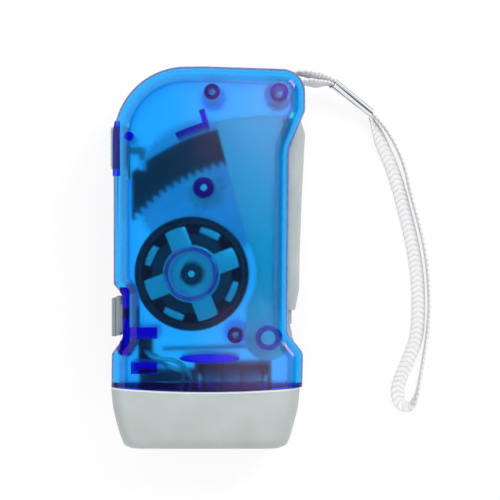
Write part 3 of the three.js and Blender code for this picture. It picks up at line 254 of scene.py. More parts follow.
def turned(name, centre, profile, sides=64):
    """A profile of radius and height turned about an upright axis, one extrusion for each step of the profile."""
    bpy.ops.object.select_all(action="DESELECT")
    least = MERGE / 4
    steps = [(max(radius, least), height) for radius, height in profile]
    radius, height = steps[0]
    bpy.ops.mesh.primitive_circle_add(vertices=sides, radius=radius, location=(centre[0], centre[1], height))
    bpy.ops.object.mode_set(mode="EDIT")
    bpy.ops.mesh.select_all(action="SELECT")
    for (radius, height), (next_radius, next_height) in zip(steps, steps[1:]):
        bpy.ops.mesh.extrude_edges_move(TRANSFORM_OT_translate={"value": (0, 0, next_height - height)})
        grow = next_radius / radius
        middle = (centre[0], centre[1], next_height)
        bpy.ops.transform.resize(value=(grow, grow, 1), center_override=middle)
    bpy.ops.object.mode_set(mode="OBJECT")
    edit(WELD, FACE_OUT)
    return settle(name)


def lofted(name, rings):
    """Rings of equal point count, each extruded from the last and moved into place, closed at both ends."""
    bpy.ops.object.select_all(action="DESELECT")
    count = len(rings[0])
    bpy.ops.mesh.primitive_circle_add(vertices=count, radius=MM, fill_type="NGON")
    piece = bpy.context.object
    for vertex, point in zip(piece.data.vertices, rings[0]):
        vertex.co = point
    for level, ring in enumerate(rings[1:], start=1):
        bpy.ops.object.mode_set(mode="EDIT")
        if level == 1:
            bpy.ops.mesh.select_all(action="SELECT")
        bpy.ops.mesh.extrude_region_move(TRANSFORM_OT_translate={"value": (0, 0, 0)})
        bpy.ops.object.mode_set(mode="OBJECT")
        for vertex, point in zip(piece.data.vertices[level * count : (level + 1) * count], ring):
            vertex.co = point
    edit(FACE_OUT)
    return settle(name)


def dressed(node, bevel):
    """A clean copy of a frame solid whose edges are softened by millimetres, which then stands for it."""
    source = frame["nodes"][node]
    pick(source)
    bpy.ops.object.duplicate()
    piece = bpy.context.object
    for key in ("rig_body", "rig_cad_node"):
        del piece[key]
    piece.parent = None
    piece.name = piece.data.name = f"{node}_dressed"
    edit(WELD, (bpy.ops.mesh.dissolve_limited, {"angle_limit": math.radians(1.5)}))
    soften(piece, bevel)
    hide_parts(node)
    return piece


def corner_ring(corners, inset=0.0, fineness=3.0):
    """The ring of a cornered outline moved inwards by inset, each corner [x, y, radius] rounded."""
    least = 0.2 * MM
    count = len(corners)
    at = [Vector((x, y)) for x, y, _ in corners]
    along = [(at[(i + 1) % count] - at[i]).normalized() for i in range(count)]
    ring = []
    for i, (_, _, radius) in enumerate(corners):
        before, after = along[i - 1], along[i]
        turn = math.atan2(before.x * after.y - before.y * after.x, before.dot(after))
        inward = Vector((-before.y - after.y, before.x + after.x)).normalized()
        corner = at[i] + inward * inset / math.cos(turn / 2)
        if radius == 0:
            ring.append(corner)
            continue
        side = math.copysign(1, turn)
        arc = max(least, radius - side * inset)
        centre = corner + inward * side * arc / math.cos(turn / 2)
        steps = max(4, round(abs(turn) * math.sqrt(radius / MM) * fineness))
        first = math.atan2(-before.x * side, before.y * side)
        for k in range(steps + 1):
            angle = first + turn * k / steps
            ring.append(centre + arc * Vector((math.cos(angle), math.sin(angle))))
    return ring


def pillow(name, corners, inset, low, high, rounding, steps=8):
    """A slab of a cornered outline whose front and back edges are rounded."""
    rings = []
    for k in range(steps + 1):
        angle = k / steps * math.pi / 2
        shrink = inset + rounding * (1 - math.sin(angle))
        rise = rounding * (1 - math.cos(angle))
        rings.append((corner_ring(corners, shrink), rise))
    levels = [(ring, low + rise) for ring, rise in rings] + [(ring, high - rise) for ring, rise in reversed(rings)]
    return lofted(name, [[(p.x, p.y, z) for p in ring] for ring, z in levels])


def wire(name, points, radius, sides=6, handle="AUTO"):
    """A round wire along points, as a curve made into a mesh."""
    bpy.ops.object.select_all(action="DESELECT")
    bpy.ops.curve.primitive_bezier_curve_add()
    piece = bpy.context.object
    spline = piece.data.splines[0]
    spline.bezier_points.add(len(points) - 2)
    for knot, point in zip(spline.bezier_points, points):
        knot.co = point
        knot.handle_left_type = knot.handle_right_type = handle
    piece.data.bevel_depth = radius
    piece.data.bevel_resolution = sides
    piece.data.use_fill_caps = True
    pick(piece)
    bpy.ops.object.convert(target="MESH")
    return soften(settle(name))


# ---- making materials ----


def new_material(name):
    """A new material with its node tree and its surface node."""
    material = bpy.data.materials.new(name)
    material.use_nodes = True
    return material, material.node_tree, material.node_tree.nodes["Principled BSDF"]


def add_node(tree, kind, settings=None, inputs=None, links=None, stops=()):
    """Adds a node with its settings, input values, incoming links and, on a colour ramp, (place, colour) stops."""
    node = tree.nodes.new(kind)
    for key, value in (settings or {}).items():
        setattr(node, key, value)
    for key, value in (inputs or {}).items():
        node.inputs[key].default_value = value
    for key, source in (links or {}).items():
        tree.links.new(source, node.inputs[key])
    if stops:
        elements = node.color_ramp.elements
        while len(elements) < len(stops):
            elements.new(0.5)
        for element, (place, colour) in zip(elements, stops):
            element.position = place
            element.color = colour
    return node


def shade(colour, factor):
    """A colour made lighter or darker by a factor."""
    return (*[min(1.0, c * factor) for c in colour[:3]], 1.0)


# Most of a noise's values lie between these
MID_NOISE = (0.3, 0.7)


def tones(colour, variation):
    """Ramp stops of a colour that a noise varies by a share of itself."""
    return list(zip(MID_NOISE, (shade(colour, 1 - variation), shade(colour, 1 + variation))))


def grained(tree, surface, grain, roughness, shares, bump, depth_mm):
    """Lets a grain stand out of a surface, and gives the roughness that follows it between two shares of a value."""
    relief = add_node(
        tree, "ShaderNodeBump", inputs={"Strength": bump, "Distance": depth_mm * MM}, links={"Height": grain}
    )
    tree.links.new(relief.outputs["Normal"], surface.inputs["Normal"])
    least, most = (min(1, roughness * share) for share in shares)
    rough = add_node(
        tree,
        "ShaderNodeMapRange",
        inputs={"From Min": MID_NOISE[0], "From Max": MID_NOISE[1], "To Min": least, "To Max": most},
        links={"Value": grain},
    )
    return rough.outputs["Result"]


def moulded(name, colour, roughness, grain_mm=0.35, bump=0.04, variation=0.06, passing=0.0):
    """A moulded plastic: clouds of colour 9 mm across, a spark-eroded grain, drawn coarser than the real one so that
    it shows, and, where milky, passing light."""
    material, tree, surface = new_material(name)
    place = add_node(tree, "ShaderNodeTexCoord").outputs["Object"]
    clouds, grain = (
        add_node(
            tree, "ShaderNodeTexNoise", inputs={"Scale": 1 / (size * MM), "Detail": detail}, links={"Vector": place}
        ).outputs["Fac"]
        for size, detail in ((9, 3), (grain_mm, 2))
    )
    body = add_node(tree, "ShaderNodeValToRGB", links={"Fac": clouds}, stops=tones(colour, variation))
    tree.links.new(body.outputs["Color"], surface.inputs["Base Color"])
    rough = grained(tree, surface, grain, roughness, (0.85, 1.15), bump, 0.05)
    tree.links.new(rough, surface.inputs["Roughness"])
    surface.inputs["IOR"].default_value = 1.53
    surface.inputs["Transmission Weight"].default_value = passing
    return material


def highlit_at_joint(name, colour, roughness, highlight_colour, highlight_mm=0.5):
    """A moulded plastic with a painted highlight: a paler band along the bowed joint, where its edge would catch the
    light.
    """
    material = moulded(name, colour, roughness)
    tree = material.node_tree
    surface = tree.nodes["Principled BSDF"]
    body = surface.inputs["Base Color"].links[0].from_socket
    place = add_node(tree, "ShaderNodeTexCoord").outputs["Object"]
    level = add_node(
        tree,
        "ShaderNodeMapping",
        inputs={"Location": (0, -JOINT_CENTRE[1], 0), "Scale": (1, 1, 0)},
        links={"Vector": place},
    ).outputs["Vector"]
    reach = add_node(tree, "ShaderNodeVectorMath", {"operation": "LENGTH"}, links={0: level}).outputs["Value"]
    # Painted highlight: a band within this width of the joint's curve is mixed towards a pale colour
    edge, fade = (JOINT_RADIUS + highlight_mm) * MM, 0.2 * MM
    painted_highlight = add_node(
        tree,
        "ShaderNodeMapRange",
        inputs={"From Min": edge, "From Max": edge + fade, "To Min": 1, "To Max": 0},
        links={"Value": reach},
    ).outputs["Result"]
    mixed = add_node(
        tree, "ShaderNodeMix", {"data_type": "RGBA"}, inputs={7: linear(highlight_colour)}, links={0: painted_highlight, 6: body}
    )
    tree.links.new(mixed.outputs[2], surface.inputs["Base Color"])
    return material


def metal(name, colour, roughness, streak_mm=(0.2, 0.2, 0.2), bump=0.05, variation=0.12, metallic=1.0):
    """A metal with the streaks or grain of how its surface was made, drawn coarser than the real ones so that they
    show."""
    material, tree, surface = new_material(name)
    place = add_node(tree, "ShaderNodeTexCoord").outputs["Object"]
    stretch = add_node(
        tree, "ShaderNodeMapping", inputs={"Scale": [1 / (s * MM) for s in streak_mm]}, links={"Vector": place}
    )
    grain = add_node(
        tree, "ShaderNodeTexNoise", inputs={"Scale": 1, "Detail": 3}, links={"Vector": stretch.outputs["Vector"]}
    ).outputs["Fac"]
    tint = add_node(tree, "ShaderNodeValToRGB", links={"Fac": grain}, stops=tones(colour, variation))
    tree.links.new(tint.outputs["Color"], surface.inputs["Base Color"])
    rough = grained(tree, surface, grain, roughness, (0.8, 1.25), bump, 0.03)
    tree.links.new(rough, surface.inputs["Roughness"])
    surface.inputs["Metallic"].default_value = metallic
    return material


def clear_plastic(name, dye_mm, roughness, inside_roughness=None, sheen=(1, 1, 1, 1)):
    """A clear moulded plastic: its dye deepens with the length of plastic that light crosses, given for red, green
    and blue as the length that leaves about a third. Its outside is polished, with waves 11 mm long, and its
    inside, where it has one, is finely spark-eroded and blurs what lies deeper."""
    material, tree, surface = new_material(name)
    surface.inputs["Base Color"].default_value = (1, 1, 1, 1)
    surface.inputs["Transmission Weight"].default_value = 1
    surface.inputs["IOR"].default_value = 1.49
    surface.inputs["Specular Tint"].default_value = sheen
    place = add_node(tree, "ShaderNodeTexCoord").outputs["Object"]
    waves = add_node(
        tree, "ShaderNodeTexNoise", inputs={"Scale": 1 / (11 * MM), "Detail": 1}, links={"Vector": place}
    )
    rough = grained(tree, surface, waves.outputs["Fac"], roughness, (0.6, 1.4), 0.08, 0.3)
    if inside_roughness:
        depth = add_node(tree, "ShaderNodeAttribute", {"attribute_name": "inside"})
        rough = add_node(
            tree,
            "ShaderNodeMapRange",
            inputs={"To Max": inside_roughness},
            links={"Value": depth.outputs["Fac"], "To Min": rough},
        ).outputs["Result"]
    tree.links.new(rough, surface.inputs["Roughness"])
    red, green, blue = (1 / (length * MM) for length in dye_mm)
    dye = add_node(
        tree,
        "ShaderNodeVolumeAbsorption",
        inputs={"Density": red, "Color": (0, 1 - green / red, 1 - blue / red, 1)},
    )
    tree.links.new(dye.outputs["Volume"], tree.nodes["Material Output"].inputs["Volume"])
    return material


# The torch's finishes: how each is made, the material's name, its colour or dye lengths (grey is the case's
# setting), its roughness and what else tells it apart
VIOLET_GLANCE = (1, 0.6, 1, 1)
FINISHES = {
    # Clear blue of the shells: sky blue through one wall, ultramarine along it, a violet glance at the edges
    "clear_front": (
        clear_plastic,
        "pale_dyed_polycarbonate",
        (0.85, 5.2, 60),
        0.04,
        {"inside_roughness": 0.24, "sheen": VIOLET_GLANCE},
    ),
    # The same plastic with more dye, so that the far half looks deeper and its ribs nearly navy
    "clear_back": (
        clear_plastic,
        "deep_dyed_polycarbonate",
        (0.85, 2.6, 24),
        0.04,
        {"inside_roughness": 0.24, "sheen": VIOLET_GLANCE},
    ),
    # Satin grey of the grip, the pads and the knob: an even, slightly green grey with soft glints
    "grey_abs": (moulded, "moulded_grey_abs", "grey", 0.42, {}),
    # The bezel's grey with a painted highlight: a pale line along its edge under the case, where the edge would catch
    # the light
    "grey_abs_painted_highlight": (highlit_at_joint, "moulded_grey_abs_with_lip", "grey", 0.42, {"highlight_colour": "#E4EEF4"}),
    # Near white of the lever's webs, painted lighter than the grip's grey against the shade inside the case: takes on
    # the blue of the case and shows as a pale fan
    "web_painted_light": (moulded, "milky_abs", "#FDFEFF", 0.5, {"variation": 0.01}),
    # Glass-filled black of the toothed sector: dull and near black, so that its teeth read as a silhouette
    "black_nylon": (moulded, "black_filled_nylon", "#2E3038", 0.55, {"variation": 0.15}),
    # Natural acetal of the large gear: waxy and half clear, so that it hazes what lies behind it
    "acetal": (moulded, "natural_acetal", "#D6E2EE", 0.55, {"variation": 0.02, "passing": 0.9}),
    # White acetal of the small gear: waxy and opaque
    "white_acetal": (moulded, "white_acetal", "#F2F7FC", 0.45, {"variation": 0.02}),
    # Dark grey of the cell tray: a dull block behind the bezel
    "tray_abs": (moulded, "grey_tray_abs", "#565C6A", 0.5, {}),
    # Nickel plate of the cells: a soft grey metal without clear reflections
    "nickel_steel": (metal, "nickel_plated_steel", "#9AA0AA", 0.6, {}),
    # Zinc plate of the screws and the contacts: pale metal with a cool gloss
    "zinc_steel": (metal, "zinc_plated_steel", "#C9CCD0", 0.28, {}),
    # Ground steel of the shafts and drawn spring: bright, with streaks 2 mm long
    "bright_steel": (metal, "ground_steel", "#E6E8EA", 0.32, {"streak_mm": (0.1, 0.1, 2)}),
    # Pressed sheet of the claw poles: an even pale grey metal, the palest part of the wheel
    "stator_steel": (metal, "pressed_sheet_steel", "#BCC3CE", 0.34, {}),
    # Blackened steel of the flywheel: a dark rim with a faint metal gloss
    "dark_steel": (metal, "blackened_steel", "#24272E", 0.5, {"metallic": 0.5}),
    # Sintered ring magnet: dull charcoal with a coarse grain
    "ferrite": (moulded, "sintered_ferrite", "#1D1E22", 0.6, {"variation": 0.2, "bump": 0.1}),
    # Enamelled winding wire: glossy copper with ridges 0.25 mm apart
    "copper": (metal, "enamelled_copper", "#B5623A", 0.3, {"streak_mm": (3, 3, 0.25), "bump": 0.4}),
    # Metallised cups behind the lens: they mirror almost cleanly
    "mirror": (metal, "metallised_mirror", "#E6E8EA", 0.06, {"bump": 0.01, "variation": 0.02}),
    # Varnished glass-fibre board: dull green
    "board": (moulded, "glass_fibre_board", "#2F6B46", 0.4, {}),
    # Clear epoxy of the lamps and clear acrylic of the lens: colourless, with sharp glints
    "clear_epoxy": (clear_plastic, "clear_lamp_epoxy", (90, 120, 150), 0.03, {}),
    "clear_lens": (clear_plastic, "clear_lens_acrylic", (120, 160, 150), 0.02, {}),
    # Soft PVC of the leads: plain white with a broad gloss
    "sleeve": (moulded, "soft_pvc_sleeve", "#FFFFFF", 0.3, {"variation": 0.01}),
    # Bright chrome of the crimp: mirrors the floor and the dark gap of the sky as lengthwise bands
    "chrome": (metal, "bright_chrome", "#EDEEEF", 0.06, {"bump": 0.01, "variation": 0.02}),
}
MATERIALS = {}


def finish_of(name):
    """The torch's finish of that name, made once."""
    if name not in MATERIALS:
        maker, title, colour, roughness, settings = FINISHES[name]
        if colour == "grey":
            colour = tuple(bpy.context.scene.torch_case.grey)
        elif isinstance(colour, str):
            colour = linear(colour)
        MATERIALS[name] = maker(title, colour, roughness, **settings)
    return MATERIALS[name]


def paint(material, piece):
    """Gives a piece one material alone."""
    piece.data.materials.clear()
    piece.data.materials.append(material)


def fit(piece, finish, body, node=None):
    """Paints a piece in a finish, hangs it on the body it rides on and hides the frame solid it stands for."""
    paint(finish_of(finish), piece)
    if node:
        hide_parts(node)
    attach(piece, body)


# ---- strap ----

# The strap's route in millimetres, [x, y, z, turn], where turn is 0 lying flat, 1 standing on edge
# and more leaning over the other way
STRAP_ROUTE = [
    (16.55, 44.9, 17, 1),
    (16.7, 47.1, 17, 1),
    (18.4, 49.2, 17, 1),
    (20.9, 50.4, 17, 1),
    (23.6, 51.9, 17, 1),
    (26.3, 52.2, 16.6, 0.8),
    (30.8, 51.6, 13.2, 0.62),
    (35.96, 50.36, 8.1, 1),
    (38.68, 48.26, 6.875, 1),
    (41.39, 46.17, 5.65, 1),
    (44.1, 44.08, 4.425, 1),
    (46.81, 41.98, 3.2, 1),
    (50.5, 38.2, 2.2, 1),
    (54.1, 32.5, 2.1, 1),
    (56.6, 26.4, 2.1, 1),
    (58.4, 18.9, 2.1, 1),
    (61.2, 8.4, 2.1, 1),
    (62.8, 0.5, 2.1, 1),
    (63.6, -7.4, 2.1, 1),
    (63.8, -15.3, 2.1, 1),
    (63.0, -23.7, 2.1, 1),
    (62.1, -29.5, 2.1, 1),
    (61.1, -35.3, 2.1, 1),
    (60.1, -40, 2, 0.9),
    (58.4, -43, 1.7, 0.6),
    (55.7, -42.3, 1.2, 0.3),
    (54.7, -38.9, 0.9, 0.1),
    (55.5, -35.2, 0.8, 0),
    (57.5, -30.3, 0.8, 0),
    (60, -23.3, 0.8, 0),
    (60.7, -14.8, 0.8, 0),
    (60.4, -6, 0.8, 0),
    (59, 3.6, 0.8, 0),
    (56.6, 13.8, 0.8, 0),
    (55.15, 19.4, 0.8, 0),
    (53.1, 25.8, 0.8, 0),
    (50.3, 32.4, 1.2, 0.12),
    (48, 37.9, 2.1, 0.6),
    (46.09, 41.06, 3.2, 1),
    (43.38, 43.16, 4.425, 1),
    (40.67, 45.25, 5.65, 1),
    (37.96, 47.34, 6.875, 1),
    (35.24, 49.44, 8.1, 1),
    (31.2, 49.5, 12.2, 1.35),
    (28.2, 49.7, 15.6, 1.25),
    (26.1, 49.1, 17, 1.1),
    (25.1, 46.9, 17, 1),
    (23.6, 43.9, 17, 1),
    (20, 42, 17, 1),
    (17.9, 42.72, 17, 1),
    (17.03, 43.65, 17, 1),
]


def route_points(route, step):
    """Points no more than step apart on a centripetal curve through the route, each with its turn."""
    knots = [Vector(point[:3]) * MM for point in route]
    turns = [point[3] for point in route]
    ends = [2 * knots[0] - knots[1], *knots, 2 * knots[-1] - knots[-2]]
    points = []
    for i in range(len(knots) - 1):
        p0, p1, p2, p3 = ends[i : i + 4]
        t0 = max((p1 - p0).length ** 0.5, 1e-6)
        t1 = max((p2 - p1).length ** 0.5, 1e-6)
        t2 = max((p3 - p2).length ** 0.5, 1e-6)
        slope1 = ((p1 - p0) / t0 - (p2 - p0) / (t0 + t1) + (p2 - p1) / t1) * t1
        slope2 = ((p2 - p1) / t1 - (p3 - p1) / (t1 + t2) + (p3 - p2) / t2) * t1
        count = max(2, math.ceil((p2 - p1).length / step))
        for k in range(count + (i == len(knots) - 2)):
            t = k / count
            c2 = -3 * p1 + 3 * p2 - 2 * slope1 - slope2
            c3 = 2 * p1 - 2 * p2 + slope1 + slope2
            points.append((p1 + slope1 * t + c2 * t * t + c3 * t**3, turns[i] + (turns[i + 1] - turns[i]) * t))
    return points


def frames_along(points):
    """Each point of the tape's route with the directions of its width and its thickness."""
    up = Vector((0, 0, 1))
    found = []
    for i, (point, turn) in enumerate(points):
        tangent = (points[min(i + 1, len(points) - 1)][0] - points[max(i - 1, 0)][0]).normalized()
        side = up.cross(tangent).normalized()
        over = tangent.cross(side)
        angle = turn * math.pi / 2
        wide = side * math.cos(angle) + over * math.sin(angle)
        thin = over * math.cos(angle) - side * math.sin(angle)
        found.append((point, wide, thin))
    return found


def rounded(angle, roundness):
    """Shares of the half width and half thickness at an angle round a flat section, an ellipse at 1."""
    across, up = math.cos(angle), math.sin(angle)
    return math.copysign(abs(across) ** roundness, across), math.copysign(abs(up) ** roundness, up)


def braid(name, points, width, thickness, plait):
    """A flat plaited tape: a rounded flat section whose threads stand out in slanting ridges."""
    around = 28
    relief = 0.16 * MM
    # How round the section is, an ellipse at 1, and how many plaits a thread runs back from the middle to an edge
    roundness, lag = 0.72, 0.62
    # Shares of the relief that are left at the edges of the flat sides, and that widen the tape
    at_edge, sideways = 0.35, 0.6
    half_wide, half_thin = width / 2 - relief, thickness / 2 - relief
    frames = frames_along(points)
    rings, depths, run = [], [], 0.0
    for i, (point, wide, thin) in enumerate(frames):
        if i:
            run += (point - frames[i - 1][0]).length
        ring, depth = [], []
        for k in range(around):
            angle = 2 * math.pi * k / around
            flat, rise = rounded(angle, roundness)
            slant = abs(flat) * lag * (1 if rise > 0 else -1)
            ridge = abs(math.sin(math.pi * (run / plait + slant)))
            swell = relief * ridge * (at_edge + (1 - at_edge) * abs(rise))
            widening = relief * ridge * sideways * abs(flat)
            ring.append(point + wide * flat * (half_wide + widening) + thin * rise * (half_thin + swell))
            depth.append((1 - ridge) ** 2)
        rings.append(ring)
        depths.append(depth)
    bpy.ops.object.select_all(action="DESELECT")
    bpy.ops.mesh.primitive_grid_add(x_subdivisions=len(rings) - 1, y_subdivisions=around, size=1)
    piece = bpy.context.object
    columns = len(rings)
    for index, vertex in enumerate(piece.data.vertices):
        row, column = divmod(index, columns)
        vertex.co = rings[column][row % around]
    # How deep each point lies between the ridges, which the strap's material turns into painted shade
    groove_shade = piece.data.attributes.new("groove", "FLOAT", "POINT")
    for index in range(len(piece.data.vertices)):
        row, column = divmod(index, columns)
        groove_shade.data[index].value = depths[column][row % around]
    edit(WELD, (bpy.ops.mesh.fill_holes, {"sides": around}))
    edit(FACE_OUT)
    bpy.ops.object.shade_smooth()
    return settle(name)


def strap_material():
    """Bleached polyester braid: matt, slightly fuzzy, with painted shade in the grooves where its threads dive under
    each other.
    """
    colour = tuple(bpy.context.scene.torch_strap.colour)
    # The pattern runs once along the strap, cut into lengths of one plait with so many threads each
    run_mm, plait_mm, threads_each = 255, 1.5, 9
    material, tree, surface = new_material("bleached_polyester_braid")
    uv = add_node(tree, "ShaderNodeTexCoord").outputs["UV"]
    scaled = add_node(tree, "ShaderNodeMapping", inputs={"Scale": (run_mm / plait_mm, 1, 1)}, links={"Vector": uv})
    threads = add_node(
        tree,
        "ShaderNodeTexNoise",
        inputs={"Scale": threads_each, "Detail": 2, "Roughness": 0.6},
        links={"Vector": scaled.outputs["Vector"]},
    )
    shades = add_node(
        tree,
        "ShaderNodeValToRGB",
        links={"Fac": threads.outputs["Fac"]},
        stops=[(0.3, shade(colour, 0.84)), (0.62, colour)],
    ).outputs["Color"]
    # Painted shade: in the grooves the threads' colour is mixed towards 0.55 of itself
    groove = add_node(tree, "ShaderNodeAttribute", {"attribute_name": "groove"})
    share = add_node(
        tree, "ShaderNodeMath", {"operation": "MULTIPLY"}, inputs={1: 0.7}, links={0: groove.outputs["Fac"]}
    ).outputs["Value"]
    shades = add_node(
        tree, "ShaderNodeMix", {"data_type": "RGBA"}, inputs={7: shade(colour, 0.55)}, links={0: share, 6: shades}
    ).outputs[2]
    relief = add_node(
        tree,
        "ShaderNodeBump",
        inputs={"Strength": 0.35, "Distance": 0.08 * MM},
        links={"Height": threads.outputs["Fac"]},
    )
    tree.links.new(shades, surface.inputs["Base Color"])
    tree.links.new(relief.outputs["Normal"], surface.inputs["Normal"])
    surface.inputs["Roughness"].default_value = 0.85
    surface.inputs["Sheen Weight"].default_value = 0.3
    return material


def crimp_tube():
    """A tube with a rounded flat section, pressed over both runs of the strap, with a painted dark reflection along
    one long edge.
    """
    dark_reflection_from = 1.36 * MM
    ends = [Vector(end) * MM for end in ((35.6, 49.9, 8.1), (46.45, 41.52, 3.2))]
    along = (ends[1] - ends[0]).normalized()
    side = Vector((0, 0, 1)).cross(along).normalized()
    over = along.cross(side)

    def section(centre, across, up, roundness):
        shares = [rounded(k * math.pi / 32, roundness) for k in range(64)]
        return [centre + side * flat * across * MM + over * rise * up * MM for flat, rise in shares]

    tube = lofted("crimp_tube", [section(end, 1.6, 2.5, 0.92) for end in ends])
    room = lofted("room", [section(end, 1.26, 2.2, 0.6) for end in (ends[0] - along * MM, ends[1] + along * MM)])
    bool_with(tube, [room])
    soften(tube, 0.12, 3, 50)
    fit(tube, "chrome", "case", "strap_crimp")
    # Faces along one long edge take the blackened steel: a painted dark reflection of shade
    tube.data.materials.append(finish_of("dark_steel"))
    for face in tube.data.polygons:
        face.material_index = int((face.center - ends[0]).dot(side) > dark_reflection_from)
    return tube


class TorchCamera(bpy.types.Operator):
    """Places the camera straight over the torch"""

    bl_idname = "torch.camera"
    bl_label = "Camera"

    def execute(self, context):
        stage = context.scene.torch_stage
        # The height of the case's front edge, and the point under the middle of the picture
        front_edge = 30 * MM
        centre = (12.0 * MM, 2.2 * MM)
        bpy.ops.object.camera_add(location=(*centre, front_edge + stage.camera_height), rotation=(0, 0, 0))
        camera = context.object
        camera.name = "camera"
        camera.data.lens = camera.data.sensor_width * stage.camera_height / stage.field
        camera.data.clip_start = 0.01
        context.scene.camera = camera
        return {"FINISHED"}


class TorchStrap(bpy.types.Operator):
    """Braids the wrist strap and bends its crimp"""

    bl_idname = "torch.strap"
    bl_label = "Wrist strap"

    def execute(self, context):
        strap = context.scene.torch_strap
        points = route_points(STRAP_ROUTE, 0.22 * MM)
        piece = braid("wrist_braid", points, strap.width, strap.thickness, strap.plait)
        paint(strap_material(), piece)
        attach(piece, "case")
        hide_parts("wrist_strap")
        crimp_tube()
        return {"FINISHED"}


# ---- case ----

# Outline of the case from the front: shares of its half width and half length, then corner radius over half width
CASE_SHARES = [
    (-0.978, -0.86, 0),
    (0.97, -0.86, 0),
    (0.989, -0.494, 0.11),
    (0.83, -0.394, 0.12),
    (0.846, 0.566, 0.3),
    (1.01, 0.77, 0.11),
    (1.008, 0.985, 0.24),
    (0, 1.002, 0.9),
    (-0.951, 1.0, 0.74),
    (-0.951, -0.138, 0.055),
    (-0.852, -0.193, 0.07),
    (-0.85, -0.415, 0.07),
    (-0.97, -0.5, 0.07),
]


def case_corners():
    """The corners of the case's outline in metres."""
    case = bpy.context.scene.torch_case
    half_width, half_length = case.width / 2, case.length / 2
    return [(x * half_width, y * half_length, r * half_width) for x, y, r in CASE_SHARES]


def case_body(name, inset, low, rounding):
    """The case's outer form, moved inwards by inset and its front and back by low."""
    case = bpy.context.scene.torch_case
    return pillow(name, case_corners(), inset, low, case.thickness - low, rounding)


def raised(name, outline, low, high):
    """A flat outline of points raised between two levels in millimetres."""
    return lofted(name, [[(x, y, z * MM) for x, y in outline] for z in (low, high)])


def case_cheeks():
    """Square-edged cheeks of solid wall beside the lock and across the knob's recess."""
    cheeks = []
    for low, high in (((-28.7, 22.5, 0), (-23.68, 37.6, 34)), ((-23.75, -26.8, 0), (-21.0, -8.0, 34))):
        prism = raised("cheek", corner_ring(case_corners()), 0.4, 33.6)
        cheeks.append(bool_with(prism, [slab("keep", low, high)], "INTERSECT"))
    return cheeks


def ring_part(centre, radius, angles):
    """Points of a circle at these angles."""
    return [(centre[0] + radius * math.cos(a), centre[1] + radius * math.sin(a)) for a in angles]


def even_steps(first, last, steps):
    """Values from first to last in equal steps, both ends among them."""
    return [first + (last - first) * k / steps for k in range(steps + 1)]


def case_windows():
    """The openings for the lever and its hub, the lock, the knob's tongue and the strap."""
    low, high = 8.5, 25.5
    reach = bar("reach", PIVOT, 62.7, low, high, 160)
    side = slab("side", (19.41, PIVOT.y / MM, low), (30, 52.8, high))
    lever_gap = bool_with(reach, [side], "INTERSECT")
    hub_gap = bar("hub_gap", PIVOT, 7.4, low, high, 64)
    lock_gap = slab("lock_gap", (-28.7, 22.0, 11.7), (-23.18, 38.88, 22.3))
    knob_gap = slab("knob_gap", (-26, -17.26, 15.2), (-20, -12.16, 18.8))
    sweep = even_steps(math.radians(-20), math.radians(88), 24)
    post = SCREWS[1]
    outline = ring_part(post, 14.6 * MM, sweep) + ring_part(post, 3.9 * MM, reversed(sweep))
    return [lever_gap, hub_gap, lock_gap, knob_gap, raised("strap_gap", outline, 14.45, 19.55)]


def case_half(name, low, high):
    """Half of the hollow case, ending in the curved joint with the bezel."""
    case = bpy.context.scene.torch_case
    half = case_body(name, 0, 0, case.edge_round)
    bool_with(half, [case_body("inside", case.side_wall, case.wall, case.edge_round - 0.7 * MM)])
    joint = bar("joint", JOINT_CENTRE, JOINT_RADIUS, low, high, JOINT_SIDES)
    bool_with(half, [joint], "INTERSECT")
    return half


def rack_guide():
    """The L-shaped rib that the rack's rim slides behind."""
    first, last = math.radians(105.6), math.radians(114.4)
    inner, outer, foot = 60.5 * MM, 61.9 * MM, 65.5 * MM
    bend = first + (outer - inner) / inner
    arcs = ((inner, even_steps(first, last, 16)), (outer, even_steps(last, bend, 16)), (foot, (bend, first)))
    outline = [point for radius, angles in arcs for point in ring_part(PIVOT, radius, angles)]
    return raised("rack_guide", outline, 12.7, FRONT)


def spring_rib():
    """The long oval rib that the spring's leg lies along."""
    centre, half_length, half_width = (0.9 * MM, -27.65 * MM), 8.25 * MM, 1.3 * MM
    turns = [k * math.pi / 24 for k in range(48)]
    outline = [(centre[0] + half_length * math.cos(a), centre[1] + half_width * math.sin(a)) for a in turns]
    return raised("spring_rib", outline, 13, FRONT)


def switch_ribs(low, high):
    """The two ribs that hold the switch body between them."""
    ends = ((-22.22, -19.02), (-31.87, -28.67))
    return [slab("switch_rib", (-20.7, y0, low), (-13.5, y1, high)) for y0, y1 in ends]


def collar():
    """The ring round the flywheel's front bush."""
    ring = bar("collar", ROTOR_AXIS, 7.45, 28.1, FRONT, 96)
    return bool_with(ring, [bar("hole", ROTOR_AXIS, 6.2, 20, 40, 96)])


def collar_groove():
    """A shallow ring sunk in the front face over the flywheel's collar, whose sloped sides catch the light."""
    face = bpy.context.scene.torch_case.thickness / MM
    section = [(5.95, 0.05), (6.25, -0.15), (6.95, -0.15), (7.25, 0.05), (7.25, 1), (5.95, 1), (5.95, 0.05)]
    return turned("groove", ROTOR_AXIS, [(radius * MM, (face + rise) * MM) for radius, rise in section], 96)


def joint_wall(low, high):
    """The wall that closes the front shell behind the bezel, curved like the joint."""
    case = bpy.context.scene.torch_case
    wall = slab("joint_wall", (-26, -38, low), (26, -34.3, high))
    joint = bar("joint", JOINT_CENTRE, JOINT_RADIUS, low - 1, high + 1, JOINT_SIDES)
    return bool_with(wall, [case_body("core", 0.7 * MM, 0.7 * MM, case.edge_round), joint], "INTERSECT")


